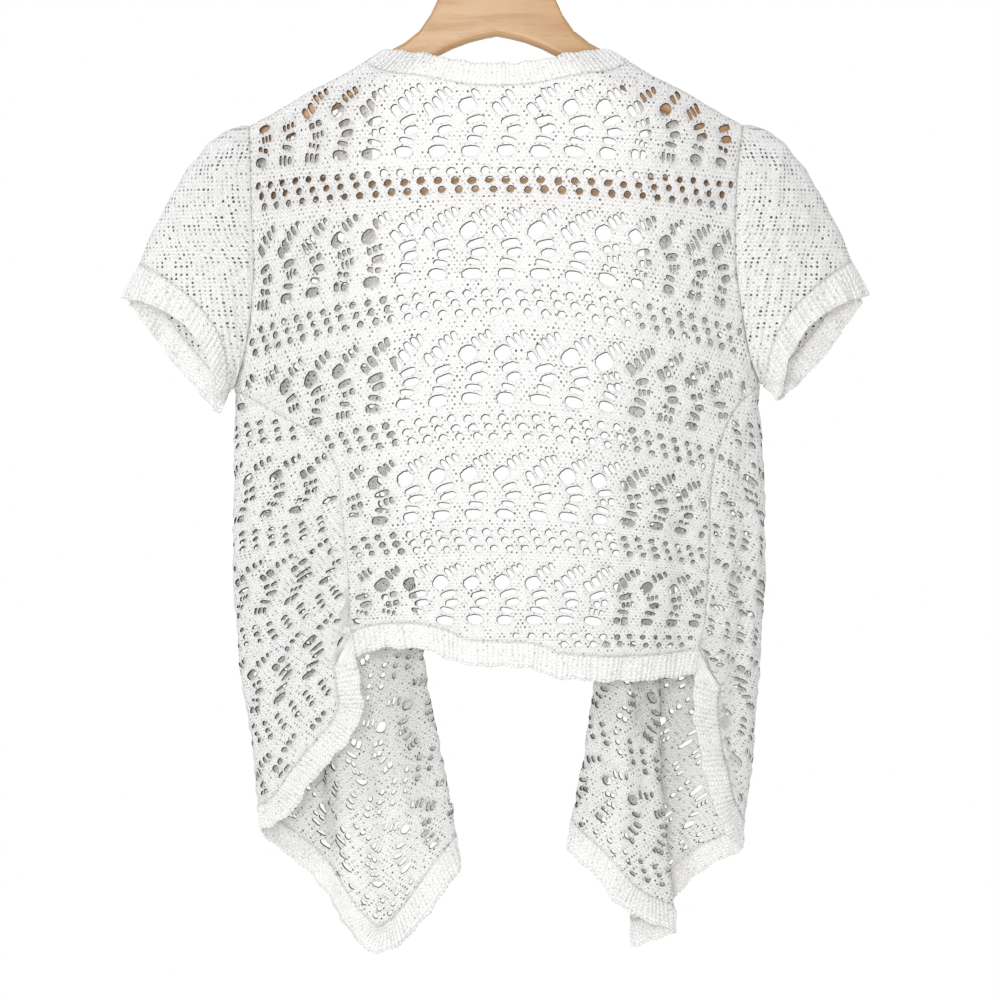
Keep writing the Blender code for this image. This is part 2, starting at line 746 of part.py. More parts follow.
def hem_band_front(name, side, material):
    """The rib on a front's hem, sewn to the panel's last row. Beyond the side fold, it runs
    straight on from the panel's columns, so that its folds go on as the panel's."""
    far, near = front_rows(side)
    outer, _, cloth = hem_curves(side)
    foot = []
    for number, drop in near[-1][:-1] + far[-1]:
        level = section(side, drop)
        foot.append((level.lengths[-1] - level.length_to(number), drop))
    sewn = offset_line(foot, -SEAM)
    ends = [from_edge(side, *place) for place in outer]
    rows = []
    for i, (low, high) in enumerate(zip(sewn, (across_from(p, cloth, outer) for p in foot))):
        start, free = from_edge(side, *low), from_edge(side, *high)
        along = (start[0], drop_on(ends, start[0]))
        free = lerp(free, along, min(i / NEAR_COLUMNS, 1.0) ** 2)
        rows.append((start, free))
    # The band's first cross line lies on the side seam and starts where it is clear of the panel.
    corner = (outer[0][0] - SEAM / 2, outer[0][1])
    rows[0] = (from_edge(side, *lerp(foot[0], corner, 0.05)), from_edge(side, *corner))
    last = [cut_at(line, NECKBAND + SEAM)[-1] for line in (hem_curves(side)[1], outer)]
    places = []
    for share in (0, 1 / 3, 2 / 3, 1):
        row = [lerp(start, free, share) for start, free in rows]
        row[-1] = from_edge(side, *lerp(last[0], last[1], share))
        places.append([on_wrap(side, *at) for at in row])
    sheet = Sheet()
    sheet.grid([[(i, j) for j in range(len(row))] for i, row in enumerate(places)], places)
    return sheet.build(name, material)


def front_band(name, side, material):
    """The rib down a free front edge, from the shoulder line to the hem."""
    far, _ = front_rows(side)
    outer, inner, _ = hem_curves(side)
    sewn = [row[-1][1] for row in far]
    hem = [cut_at(line, NECKBAND + SEAM)[-1][1] for line in (inner, outer)]
    feet = sorted(p for p in outer if p[0] <= NECKBAND + 8)
    edges = [NECKBAND * share for share in (0, 1 / 3, 2 / 3, 1)]
    steps = sewn[len(TURN_ROWS) :] + [lerp(hem[0], hem[1], share) for share in (1 / 3, 2 / 3, 1)]
    start = sewn[len(TURN_ROWS) - 1]
    shares = [(drop - start) / (steps[-1] - start) for drop in steps]
    columns = []
    for edge in edges:
        top = meet_shoulder(side, lambda d: from_edge(side, edge, d)[0])
        foot = straight_line(feet, edge)
        drops = [top + rise for rise in TURN_ROWS]
        drops += [lerp(drops[-1], foot, share) for share in shares]
        columns.append([from_edge(side, edge, drop) for drop in drops])
    rows = list(zip(*columns))
    sheet = Sheet()
    sheet.grid(
        [[(i, j) for j in range(len(row))] for i, row in enumerate(rows)],
        [[on_wrap(side, *at) for at in row] for row in rows],
    )
    return sheet.build(name, material)


def strip(name, first, second, place, material, steps_across=2):
    """A band between two lines with the same number of places."""
    sheet = Sheet()
    rows, keys = [], []
    for i in range(steps_across + 1):
        rows.append([place(*lerp(a, b, i / steps_across)) for a, b in zip(first, second)])
        keys.append([(i, j) for j in range(len(first))])
    sheet.grid(keys, rows)
    return sheet.build(name, material)


# ---- the back ----------------------------------------------------------------------------------


def back_place(x, drop):
    """The place (signed number, drop) on the back that is this far to the right."""
    side = -1 if x < 0 else 1
    return side * section(side, drop).number_of(NEAR, abs(x)), drop


def on_back(number, drop):
    return on_wrap(-1 if number < 0 else 1, abs(number), drop)


@lru_cache(maxsize=None)
def neck_lines():
    """The neckband's top edge and the line where it is sewn to the back, as (x, drop). Both end
    on the shoulder line, and have places close together where they turn over the arm."""
    top = curve_through(NECK, 120)
    inside = [p for p in offset_line(top, NECKBAND) if abs(p[0]) < 80]
    end = NECK[-1][0] + NECKBAND * 0.87
    left, right = ([(sign * end, shoulder_drop(end)), (sign * 96, 148.6)] for sign in (-1, 1))
    foot = curve_through(left + inside[:: len(inside) // 10] + right[::-1], 120)
    lines = []
    for line in (top, foot):
        length = sum(math.dist(a, b) for a, b in zip(line, line[1:]))
        turn = [rise * 1.3 for rise in TURN_ROWS]
        middle = [lerp(turn[-1], length - turn[-1], i / NECK_COLUMNS) for i in range(1, NECK_COLUMNS)]
        marks = turn + middle + [length - rise for rise in reversed(turn)]
        found, travelled, k = [], 0.0, 0
        for mark in marks:
            while k < len(line) - 2 and travelled + math.dist(line[k], line[k + 1]) < mark:
                travelled += math.dist(line[k], line[k + 1])
                k += 1
            found.append(lerp(line[k], line[k + 1], (mark - travelled) / math.dist(line[k], line[k + 1])))
        lines.append(found)
    return lines


@lru_cache(maxsize=None)
def back_rows():
    """The places of the back panel, as rows of (signed number, drop)."""
    _, sewn = neck_lines()
    top = []
    for side in (-1, 1):
        arm, neck = ARMHOLE_BACK[side][0][0], sewn[-1][0] + SEAM
        outs = [lerp(arm, neck, i / SHOULDER_COLUMNS) for i in range(SHOULDER_COLUMNS + 1)]
        shoulder = [(side * out, shoulder_drop(round(out, 2))) for out in outs]
        top.append(shoulder if side < 0 else shoulder[::-1])
    under_neck = [(x, drop + SEAM) for x, drop in sewn[1:-1]]
    top = [back_place(x, drop) for x, drop in top[0] + under_neck + top[1]]
    outer = curve_through(BACK_HEM, 60)
    inner = offset_line(outer, -(HEM_BAND + SEAM))
    seams = {}
    for side in (-1, 1):
        foot = SIDE_SEAM[side][-1][1] - HEM_BAND - SEAM
        seams[side] = seam_places(side, SKIRT_ROWS + 1, foot, -SEAM / 2)
    feet = {side: seams[side][-1] for side in (-1, 1)}
    ends = [(side * section(side, foot[1]).at(foot[0])[0], foot[1]) for side, foot in feet.items()]
    inner = [ends[0]] + [p for p in inner if ends[0][0] + 4 < p[0] < ends[1][0] - 4] + [ends[1]]
    hem = curve_through([inner[i] for i in spread(len(inner), 24)], len(top))
    hem = [back_place(x, drop) for x, drop in hem]
    rows = [[(number, drop + rise) for number, drop in top] for rise in TURN_ROWS]
    sides = {}
    for side in (-1, 1):
        drops = armhole_drops(side)
        arm = [(side * armhole_number(side, ARMHOLE_BACK[side], (0, SIDE), drop), drop) for drop in drops]
        for i in range(len(TURN_ROWS)):
            rows[i][0 if side < 0 else -1] = arm[i]
        skirt = [(side * number, drop) for number, drop in seams[side]]
        sides[side] = arm[len(TURN_ROWS) - 1 : -1] + skirt
    hem[0], hem[-1] = sides[-1][-1], sides[1][-1]
    rows += blend_rows(rows.pop(), hem, sides[-1], sides[1])
    return rows


def back_panel(material):
    """The back, from the neckband and the shoulders down to the hem band."""
    rows = back_rows()
    sheet = Sheet()
    sheet.grid(
        [[(i, j) for j in range(len(row))] for i, row in enumerate(rows)],
        [[on_back(*at) for at in row] for row in rows],
    )
    return sheet.build("back_panel", material)


def neckband(material):
    """The rib round the back of the neck, between the two shoulder lines."""
    top, foot = neck_lines()
    return strip("neckband", top, foot, lambda x, drop: on_back(*back_place(x, drop)), material)


def hem_band_back(material):
    """The rib on the back's hem, sewn to the panel's last row."""
    outer = curve_through(BACK_HEM, 60)
    cloth = offset_line(outer, -HEM_BAND - SEAM)
    foot = []
    for number, drop in back_rows()[-1]:
        side = -1 if number < 0 else 1
        foot.append((side * section(side, drop).at(abs(number))[0], drop))
    sewn, free = offset_line(foot, SEAM), [across_from(p, cloth, outer) for p in foot]
    free[0], free[-1] = ((x - math.copysign(SEAM, x), drop) for x, drop in (outer[0], outer[-1]))
    return strip("hem_band_back", sewn, free, lambda x, drop: on_back(*back_place(x, drop)), material)


# ---- the sleeves -----------------------------------------------------------------------------


def armhole_place(side, turn):
    """A place on the armhole, with the way the body's cloth faces there. turn goes from 0, at
    the shoulder, down the back to pi, at the underarm, and up the front to two pi."""
    behind = turn <= math.pi
    line = ARMHOLE_BACK[side] if behind else ARMHOLE_FRONT[side]
    drop = lerp(line[0][1], line[-1][1], (1 - math.cos(turn)) / 2)
    number = armhole_number(side, line, (0, SIDE) if behind else (SIDE, TUCK), drop)
    return on_wrap(side, number, drop)


def sleeve_turns(side):
    """The turns at which the sleeve has the places that the panels have on the armhole."""
    drops = armhole_drops(side)
    shares = [(drop - drops[0]) / (drops[-1] - drops[0]) for drop in drops]
    down = [math.acos(1 - 2 * share) for share in shares]
    return down + [math.tau - turn for turn in reversed(down[1:-1])]


def mouth_point(side, turn):
    """A place on the edge of the cuff."""
    mouth = MOUTH[side]
    middle = lerp(mouth.top, mouth.foot, 0.5)
    half = tuple((mouth.top[k] - mouth.foot[k]) / 2 for k in (0, 1))
    size = math.hypot(*half)
    inward = (half[1] / size, -half[0] / size)
    swing = math.sin(turn)
    stand_in = (mouth.back_in if swing > 0 else mouth.front_in) * swing * swing
    out = middle[0] + half[0] * math.cos(turn) + inward[0] * stand_in
    drop = middle[1] + half[1] * math.cos(turn) + inward[1] * stand_in
    return Vector((side * out, mouth.forward - mouth.half_depth * swing, -drop))


def sleeve_point(side, turn, along):
    """A place on the sleeve: along is 0 at the armhole and 1 at the cuff's edge."""
    start, _ = armhole_place(side, turn)
    end = mouth_point(side, turn)
    reach = (end - start).length
    top = max(0.0, math.cos(turn)) ** 2
    foot = max(0.0, -math.cos(turn)) ** 3
    swing = math.sin(turn)
    leave = Vector((side * 1.0, -0.45 * swing, 0.05 - 0.3 * foot)).normalized()
    arrive = Vector((side * lerp(-0.62, -0.34, top), 0.1 * swing, lerp(0.78, 0.94, top))).normalized()
    a = start + leave * reach * lerp(0.33, 0.2, top)
    b = end + arrive * reach * lerp(0.33, 0.56, top)
    u = 1 - along
    return u**3 * start + 3 * u * u * along * a + 3 * u * along * along * b + along**3 * end


@lru_cache(maxsize=None)
def sleeve_length(side, turn):
    steps = [sleeve_point(side, turn, i / 24) for i in range(25)]
    return sum((b - a).length for a, b in zip(steps, steps[1:]))


def sleeve_place(side, turn, along):
    """A place on the sleeve, with the way it faces. Its foot stands a seam's gap clear of the
    body, and more at the underarm, where the cloth turns out sharply."""
    after, before = ((turn + step) % math.tau for step in (0.03, -0.03))
    seam, faces = armhole_place(side, turn)
    round_armhole = armhole_place(side, after)[0] - armhole_place(side, before)[0]
    underarm = max(0.0, -math.cos(turn)) ** 8
    clear = faces.cross(round_armhole).normalized() * side * SEAM * lerp(1.5, 4.0, underarm)
    clear += faces * SEAM * 4.0 * underarm
    low, high = max(along - 0.02, 0.0), min(along + 0.02, 1.0)
    down = sleeve_point(side, turn, high) - sleeve_point(side, turn, low)
    across = sleeve_point(side, after, along) - sleeve_point(side, before, along)
    own = (down.cross(across) * -side).normalized()
    if along <= 0:
        return seam + clear, lerp(faces, own, underarm / 2).normalized()
    return sleeve_point(side, turn, along) + clear * max(0.0, 1 - 3 * along), own


def sleeve_rings(side, first, last, count):
    """Rings of places between two shares of the sleeve, each a function of the turn."""
    return [
        [sleeve_place(side, turn, lerp(first(turn), last(turn), k / count)) for turn in sleeve_turns(side)]
        for k in range(count + 1)
    ]


def sleeve_and_cuff(side, cloth, rib):
    """A cap sleeve, and the rib that is sewn to its mouth."""
    name = "left" if side < 0 else "right"

    def sewn(turn):
        return max(0.04, 1 - CUFF / sleeve_length(side, turn))

    def sleeve_end(turn):
        return sewn(turn) - SEAM / sleeve_length(side, turn)

    for piece, first, last, count, material in (
        ("sleeve", lambda turn: 0.0, sleeve_end, SLEEVE_ROWS, cloth),
        ("cuff", sewn, lambda turn: 1.0, 2, rib),
    ):
        rings = sleeve_rings(side, first, last, count)
        sheet = Sheet()
        sheet.grid([[(i, j) for j in range(len(ring))] for i, ring in enumerate(rings)], rings, round_=True)
        sheet.build(f"{piece}_{name}", material)


# ---- the hanger --------------------------------------------------------------------------------


def close_ends(mesh, rings):
    for ring in (rings[0], rings[-1]):
        mesh.faces.new(ring)
    bmesh.ops.recalc_face_normals(mesh, faces=mesh.faces)


def join_rings(mesh, rings):
    count = len(rings[0])
    for a, b in zip(rings, rings[1:]):
        for i in range(count):
            j = (i + 1) % count
            mesh.faces.new([a[i], a[j], b[j], b[i]])


def rounded_outline(width, height, radius, steps):
    """Points round a rectangle with round corners, centred, as (across, up)."""
    points = []
    for k, (sx, sy) in enumerate(((1, 1), (-1, 1), (-1, -1), (1, -1))):
        for i in range(steps + 1):
            angle = math.pi / 2 * (k + i / steps)
            points.append(
                (
                    sx * (width / 2 - radius) + radius * math.cos(angle),
                    sy * (height / 2 - radius) + radius * math.sin(angle),
                )
            )
    return points


def hanger_body(material):
    """The shaped wooden arms: rings of rounded sections from tip to tip."""
    half = [0, 10, 22, 36, 47, 53, 62, 74, 90, 110, 133, 157, 182, 198, 203.9, 204, 210, 215, ARM_REACH]
    outs = [-x for x in reversed(half[1:])] + half
    mesh = bmesh.new()
    rings = []
    for out in outs:
        top = shoulder_drop(abs(out)) + CLOTH_LIFT
        under = straight_line(WOOD_UNDER, abs(out))
        if abs(out) == ARM_REACH:
            top, under = top + 8, under - 6
        middle = arm_forward(out)
        outline = rounded_outline(WOOD_THICK, under - top, WOOD_THICK / 2 - 0.6, 4)
        ring = [
            mesh.verts.new(Vector((out, middle + across, -(top + under) / 2 + up)) * MM)
            for across, up in outline
        ]
        rings.append(ring)
    join_rings(mesh, rings)
    close_ends(mesh, rings)
    return add_object("hanger_body", mesh, material)


def hanger_bar(material):
    """The straight bar between the lobes under the arms' ends."""
    mesh = bmesh.new()
    outline = rounded_outline(BAR_THICK, BAR_HEIGHT, BAR_THICK / 2 - 0.5, 4)
    length = BAR_FACE - SEAM
    rings = [
        [mesh.verts.new(Vector((x, BAR_FORWARD + across, up - BAR_DROP)) * MM) for across, up in outline]
        for x in (-length, -length / 3, length / 3, length)
    ]
    join_rings(mesh, rings)
    close_ends(mesh, rings)
    return add_object("hanger_bar", mesh, material)


def hook_path():
    """The middle of the hook's wire: up from the wood, round the crown and down to its tip."""
    centre, radius = -HOOK_RADIUS, HOOK_RADIUS + WIRE / 2
    path = [(0.0, 3.0 - HOOK_FOOT), (0.0, -52.0), (0.7, -48.4), (3.4, -44.0), (7.4, -39.4)]
    for i in range(21):
        angle = math.radians(lerp(-52, 196, i / 20))
        path.append((radius * math.cos(angle), centre + radius * math.sin(angle)))
    return path


def hanger_hook(material):
    """The steel hook, with the collar that it stands on."""
    path = hook_path()
    turns = [math.tau * i / WIRE_SIDES for i in range(WIRE_SIDES)]
    mesh = bmesh.new()
    rings = []
    for rise, radius in COLLAR + [(COLLAR[-1][0] + 0.1, WIRE / 2)]:
        ring = [Vector((radius * math.cos(t), radius * math.sin(t), rise - HOOK_FOOT)) for t in turns]
        rings.append([mesh.verts.new(point * MM) for point in ring])
    for k in range(1, len(path)):
        before, after = path[k - 1], path[min(k + 1, len(path) - 1)]
        size = math.dist(before, after)
        along = ((after[0] - before[0]) / size, (after[1] - before[1]) / size)
        across = Vector((along[1], 0.0, -along[0]))
        middle = Vector((path[k][0], 0, path[k][1]))
        ring = [middle + (across * math.cos(t) + Vector((0, math.sin(t), 0))) * WIRE / 2 for t in turns]
        rings.append([mesh.verts.new(point * MM) for point in ring])
    join_rings(mesh, rings)
    close_ends(mesh, rings)
    return add_object("hanger_hook", mesh, material)


# ---- materials ---------------------------------------------------------------------------------


def material(name, colour, roughness, metallic=0.0):
    made = bpy.data.materials.new(name)
    made.use_nodes = True
    shader = made.node_tree.nodes["Principled BSDF"]
    shader.inputs["Base Color"].default_value = (*colour, 1.0)
    shader.inputs["Roughness"].default_value = roughness
    shader.inputs["Metallic"].default_value = metallic
    return made


def main():
    for thing in list(bpy.data.objects):
        bpy.data.objects.remove(thing, do_unlink=True)
    lace = material("white lace knit", (0.86, 0.85, 0.82), 0.9)
    plain = material("white plain knit", (0.82, 0.82, 0.80), 0.9)
    rib = material("white rib knit", (0.74, 0.75, 0.76), 0.9)
    beech = material("lacquered beech", (0.66, 0.38, 0.17), 0.35)
    steel = material("plated steel", (0.6, 0.6, 0.6), 0.25, 1.0)

    back_panel(lace)
    front_panel("front_left", -1, lace)
    front_panel("front_right", 1, lace)
    for side in (-1, 1):
        sleeve_and_cuff(side, plain, rib)
    neckband(rib)
    front_band("front_band_left", -1, rib)
    front_band("front_band_right", 1, rib)
    hem_band_back(rib)
    hem_band_front("hem_band_left", -1, rib)
    hem_band_front("hem_band_right", 1, rib)
    hanger_body(beech)
    hanger_bar(beech)
    hanger_hook(steel)


main()
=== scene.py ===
"""The looks of a knitted lace shrug that hangs on a wooden hanger.

Sizes are in millimetres, as in the part's source: "drop" is the distance below the crown of the
hook, "out" the distance from the middle and "forward" the way to the garment's front. The cloth
of each half is one wrap, drawn in level sections, and s is the length of cloth from the middle
of the back. Each piece is cut from that wrap as a thin shell of its own, the lace with real
holes that follow a chart of its repeat.
"""

import math
import random
from collections import namedtuple
from functools import partial

import bpy
import numpy as np
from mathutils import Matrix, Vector
from mathutils.geometry import delaunay_2d_cdt


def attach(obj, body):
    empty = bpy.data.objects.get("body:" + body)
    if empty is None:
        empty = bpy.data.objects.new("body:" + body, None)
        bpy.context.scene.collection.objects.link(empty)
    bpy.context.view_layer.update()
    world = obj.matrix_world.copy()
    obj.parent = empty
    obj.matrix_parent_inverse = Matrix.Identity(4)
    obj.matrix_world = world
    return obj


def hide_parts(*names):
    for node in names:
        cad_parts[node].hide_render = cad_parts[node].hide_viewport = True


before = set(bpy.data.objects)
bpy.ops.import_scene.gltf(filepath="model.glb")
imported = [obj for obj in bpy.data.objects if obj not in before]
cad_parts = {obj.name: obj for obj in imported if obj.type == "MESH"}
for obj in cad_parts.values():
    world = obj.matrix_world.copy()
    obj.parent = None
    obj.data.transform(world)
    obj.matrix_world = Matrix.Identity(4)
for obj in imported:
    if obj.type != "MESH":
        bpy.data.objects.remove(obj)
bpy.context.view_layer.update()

MM = 0.001
PLY = 1.45  # thickness of the lace between its holes
BAND_PLY, SLEEVE_PLY = 1.3, 1.4  # thickness of the bands and of the sleeves
THIN = 0.55  # share of it that is left in the yarns beside a hole
RIM, LEAN = 0.36, np.array([0.42, 0.5])  # how the far rim of a hole stands in, and to a side
SEAM = 0.16  # gap between two sewn pieces
SHOULDER_GAP = 0.08  # from the shoulder line to the cloth's end on each side of it
NECKBAND, HEM_BAND, CUFF = 18.0, 20.0, 20.0  # widths of the ribs
STITCH_WIDE, STITCH_HIGH = 3.45, 2.9
GAP_WIDE, GAP_HIGH = 2.14, 6.5  # between the columns of small gaps, and down one of them
# the small gaps' dark colour is painted shade
LOW_SHADED_GAPS = 0.16  # how many more of the small gaps are dark in the lowest rows
RIB_PITCH = 4.1  # from one rib of a band to the next
RIB_STEPS = 8  # places along one rib of a band
RIB_HEIGHT = 0.62  # half the height from a groove to the top of a rib
BAND_ROWS = 7  # places across a band
SLEEVE_GRID = ((168, 40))  # places round a sleeve and along it

# ---- the hanger and the shoulders that lie on it ----

ARM_REACH = 216.0  # from the middle to the tip of an arm
ARM_SWEEP = 32.0  # how far the tips stand in front of the middle
TURN = 9.0  # how far below the shoulder line the cloth has turned down
# out, drop: the line of the shoulders
SHOULDER = [
    (0, 55.5), (22, 57.5), (36, 68), (47, 90), (53, 103), (62, 116), (74, 125.5),
    (82, 129.5), (90, 133.6), (122, 152), (150, 165.6), (182, 183.4), (198, 191.5),
    (207, 197), (216, 206),
]

# ---- level sections of the wrap ----

# drop, forward at the middle of the back, how far the back bows forward 200 out, then out and
# forward of each fold: side, far, tuck, ridge, lobe, inner and edge
LEFT = [
    (130, -9, 27.4, 224, 36, 192, 34.3, 170, 28.8, 146, 23.6, 124, 19.5, 107, 16.9, 90, 14.6),
    (200, -9.5, 28, 224, 36, 192, 36.5, 173, 33.5, 151, 31, 131, 29.5, 115, 28, 101, 27),
    (245, -10.6, 28.2, 224, 38, 190, 43, 172, 42.7, 152, 42.2, 132, 42, 115, 41.5, 99, 41),
    (330, -11.6, 34, 219, 43, 190, 56, 170, 57, 148, 55, 122, 53, 103, 52, 88, 53),
    (404, -12, 42, 213, 48, 198, 67, 174, 70, 146, 62, 114, 59, 87, 66, 82, 75),
    (480, -12, 45, 214, 50, 198, 72, 174, 77, 144, 63, 112, 62, 83, 69, 91, 84),
    (560, -11, 45, 214, 50, 196, 76, 172, 81, 141, 61, 104, 68, 68, 75, 90, 88),
    (640, -10, 45, 207.5, 50, 190, 78, 164, 83, 135, 58, 93, 71, 58, 77, 86, 92),
    (700, -10, 45, 198, 50, 182, 78, 158, 82, 130.5, 56, 84, 71, 46.5, 77, 76, 92),
    (762, -10, 45, 193, 50, 176, 75, 152, 78, 123, 54, 74, 68, 34.5, 75, 66, 90),
    (800, -10, 45, 192, 50, 174, 72, 150, 75, 120, 52, 70, 65, 30.5, 73, 62, 88),
    (870, -10, 45, 190, 50, 172, 68, 140, 70, 101, 51, 62, 61, 28, 70, 60, 84),
]
RIGHT = [
    (130, -9, 27.4, 224, 36, 192, 34.3, 170, 28.8, 148, 24, 126, 19.9, 107, 16.9, 90, 14.6),
    (200, -9.5, 28, 224, 36, 194, 37, 180, 35, 166, 33, 151, 31, 138, 29.5, 122, 28),
    (245, -10.6, 28.2, 224, 38, 192, 43.5, 178, 43, 163, 42.5, 149, 42, 137, 41.5, 121, 41),
    (330, -11.6, 34, 219, 43, 190, 58, 174, 58, 160, 56, 146, 54, 133, 53, 117, 53),
    (404, -12, 42, 213, 48, 197, 69, 168, 76, 152, 66, 131, 60, 108, 66, 105, 74),
    (486, -12, 45, 217.5, 50, 200, 77, 144, 83, 146, 66, 126, 57, 105, 66, 114, 77),
    (574, -11, 45, 217, 50, 198, 81, 124, 86, 140, 65, 118, 56, 98.5, 66, 110, 78),
    (639, -10, 45, 212.5, 50, 194, 83, 113, 86, 134, 64, 106, 55, 81, 66, 100, 79),
    (710, -10, 45, 207, 50, 188, 83, 107, 86, 134.5, 63, 102, 53, 70, 64, 93, 78),
    (767, -10, 45, 200, 50, 182, 82, 108, 85, 139, 61, 100, 52, 60, 63, 85, 77),
    (806, -10, 45, 197, 50, 180, 82, 109, 84, 143, 60, 102, 50, 58, 61, 82, 75),
    (870, -10, 45, 196, 50, 178, 81, 111, 83, 146, 59, 104, 49, 58, 59, 80, 73),
]
BACK_SHARES = (0, 0.2, 0.4, 0.6, 0.8, 0.92)  # of the way out to the side, more fold lines
SIDE, FAR, TUCK, RIDGE, _, INNER, EDGE = range(6, 13)  # numbers of the fold lines
# stretches of the cloth, from one fold to another
NEAR, DEEP, UNDER = (0, SIDE), (SIDE, TUCK), (TUCK, RIDGE)
OVER, FREE, FRONT = (RIDGE, INNER), (INNER, EDGE), (SIDE, EDGE)
ROUNDER = 2.0  # how much rounder the two folds of a pleat are than a smooth curve makes them
LET_GO = (230, 300)  # drops between which the cloth leaves the board and hangs free
ON_BOARD = 0.3  # share of its unevenness that cloth on the board keeps
FINE = 24  # columns of the table between two fold lines
ROW_STEP = 2.0  # drop from one row of the table to the next
TABLE_TOP, TABLE_FOOT = 50.0, 880.0

# Broad soft folds: side, out at the top and foot, drops of both, half width, height
FOLDS = [
    (1, 119, 122, 440, 700, 24, 5),
    (1, 167, 170, 450, 700, 22, 5),
    (-1, 126, 114, 420, 700, 22, 4),
    (-1, 62, 44, 470, 700, 24, 4),
    (-1, 186, 178, 430, 720, 22, 3),
]

# Waves all over the cloth: length across and down it, start, height
WAVES = [
    (23, 61, 0.3, 0.35), (41, -97, 1.9, 0.35), (-17, 29, 4.4, 0.3), (9, 33, 2.7, 0.25),
    (13, -19, 1, 0.3), (57, 13, 2.2, 0.3),
]
# Creases laid over the wrap: side, stretch, half width, height, (out, drop) of its line
CREASES = [
    # gathers where the left side seam draws the back together
    (-1, NEAR, 8, 2.8, [(104, 462), (88, 520), (60, 590)]),
    (-1, NEAR, 7, -2.2, [(92, 455), (72, 520), (44, 584)]),
    (-1, NEAR, 7, 2.2, [(116, 490), (100, 548), (78, 604)]),
    (-1, NEAR, 9, 2.0, [(62, 470), (40, 540), (22, 604)]),
    (-1, NEAR, 6, -1.8, [(122, 470), (112, 530), (98, 596)]),
    # down the left side seam and the cloth beyond it
    (-1, NEAR, 7, 2.6, [(139, 452), (131, 520), (124, 600), (116, 660)]),
    (-1, NEAR, 9, -2.2, [(150, 440), (148, 520), (143, 610), (138, 690)]),
    (-1, NEAR, 10, 2.4, [(170, 436), (166, 530), (160, 630), (166, 716)]),
    (-1, NEAR, 8, -1.8, [(186, 440), (182, 540), (178, 650), (184, 740)]),
    # right of the back
    (1, NEAR, 7, -2.4, [(108, 470), (108, 540), (110, 628)]),
    (1, NEAR, 7, 2.0, [(132, 455), (134, 530), (138, 622)]),
    (1, NEAR, 6, -2.0, [(146, 468), (150, 545), (152, 628)]),
    (1, NEAR, 6, 1.8, [(96, 500), (94, 560), (97, 630)]),
    (1, NEAR, 8, 2.4, [(180, 440), (186, 530), (180, 640), (176, 700)]),
    (1, NEAR, 8, -2.2, [(194, 430), (200, 540), (192, 650), (190, 736)]),
    (1, NEAR, 7, 2.0, [(206, 420), (210, 520), (203, 630), (199, 740)]),
    # out of the underarms
    (-1, NEAR, 6, 2.2, [(209, 398), (186, 404), (160, 396)]),
    (-1, NEAR, 6, -1.8, [(208, 402), (184, 420), (158, 430)]),
    (-1, NEAR, 6, 2.0, [(209, 406), (190, 440), (182, 490)]),
    (1, NEAR, 6, 2.4, [(209, 394), (188, 392), (164, 376)]),
    (1, NEAR, 6, -2.0, [(208, 398), (186, 412), (166, 416)]),
    (1, NEAR, 6, 2.0, [(209, 402), (196, 436), (188, 484)]),
    # soft ripples between the shoulders
    (-1, NEAR, 14, 1.2, [(60, 250), (66, 330), (72, 420)]),
    (-1, NEAR, 13, 1.3, [(120, 240), (128, 320), (136, 410)]),
    (-1, NEAR, 10, 1.2, [(160, 250), (164, 320), (166, 390)]),
    (1, NEAR, 14, 1.2, [(70, 260), (76, 340), (82, 440)]),
    (1, NEAR, 12, 1.3, [(126, 244), (134, 330), (140, 430)]),
    (1, NEAR, 10, 1.2, [(164, 246), (168, 320), (172, 392)]),
    (-1, NEAR, 15, 1.1, [(8, 300), (4, 400), (10, 500)]),
    # fronts, down the pleats and between them
    (-1, DEEP, 9, 2.6, [(196, 380), (188, 520), (182, 650), (176, 760)]),
    (-1, DEEP, 8, -2.4, [(182, 360), (178, 500), (170, 640), (160, 770)]),
    (-1, UNDER, 8, 2.4, [(160, 440), (155, 560), (148, 680), (138, 800)]),
    (-1, OVER, 9, 3.2, [(122, 400), (112, 540), (100, 680), (92, 820)]),
    (-1, OVER, 8, -3.2, [(108, 420), (96, 560), (82, 700), (72, 820)]),
    (-1, OVER, 8, 2.6, [(96, 430), (82, 560), (66, 700), (54, 800)]),
    (1, DEEP, 9, 2.6, [(194, 380), (186, 520), (180, 650), (172, 760)]),
    (1, DEEP, 9, -2.4, [(184, 390), (164, 520), (156, 650), (150, 780)]),
    (1, DEEP, 8, 2.2, [(176, 420), (146, 540), (134, 680), (128, 800)]),
    (1, UNDER, 7, 1.8, [(164, 420), (130, 560), (122, 700), (124, 820)]),
    (1, OVER, 8, 3.0, [(140, 420), (130, 560), (120, 700), (122, 820)]),
    (1, OVER, 8, -3.0, [(130, 420), (116, 560), (104, 700), (100, 800)]),
    (1, OVER, 8, 2.6, [(120, 440), (106, 560), (90, 700), (84, 790)]),
    (-1, DEEP, 12, 1.4, [(176, 240), (172, 320), (180, 400)]),
    (1, DEEP, 12, 1.4, [(184, 250), (180, 330), (184, 400)]),
    (-1, OVER, 12, 1.4, [(128, 260), (116, 340), (104, 420)]),
    (1, OVER, 12, 1.4, [(146, 260), (140, 340), (128, 410)]),
]

# ---- lines that the pieces are cut along: (out, drop) ----

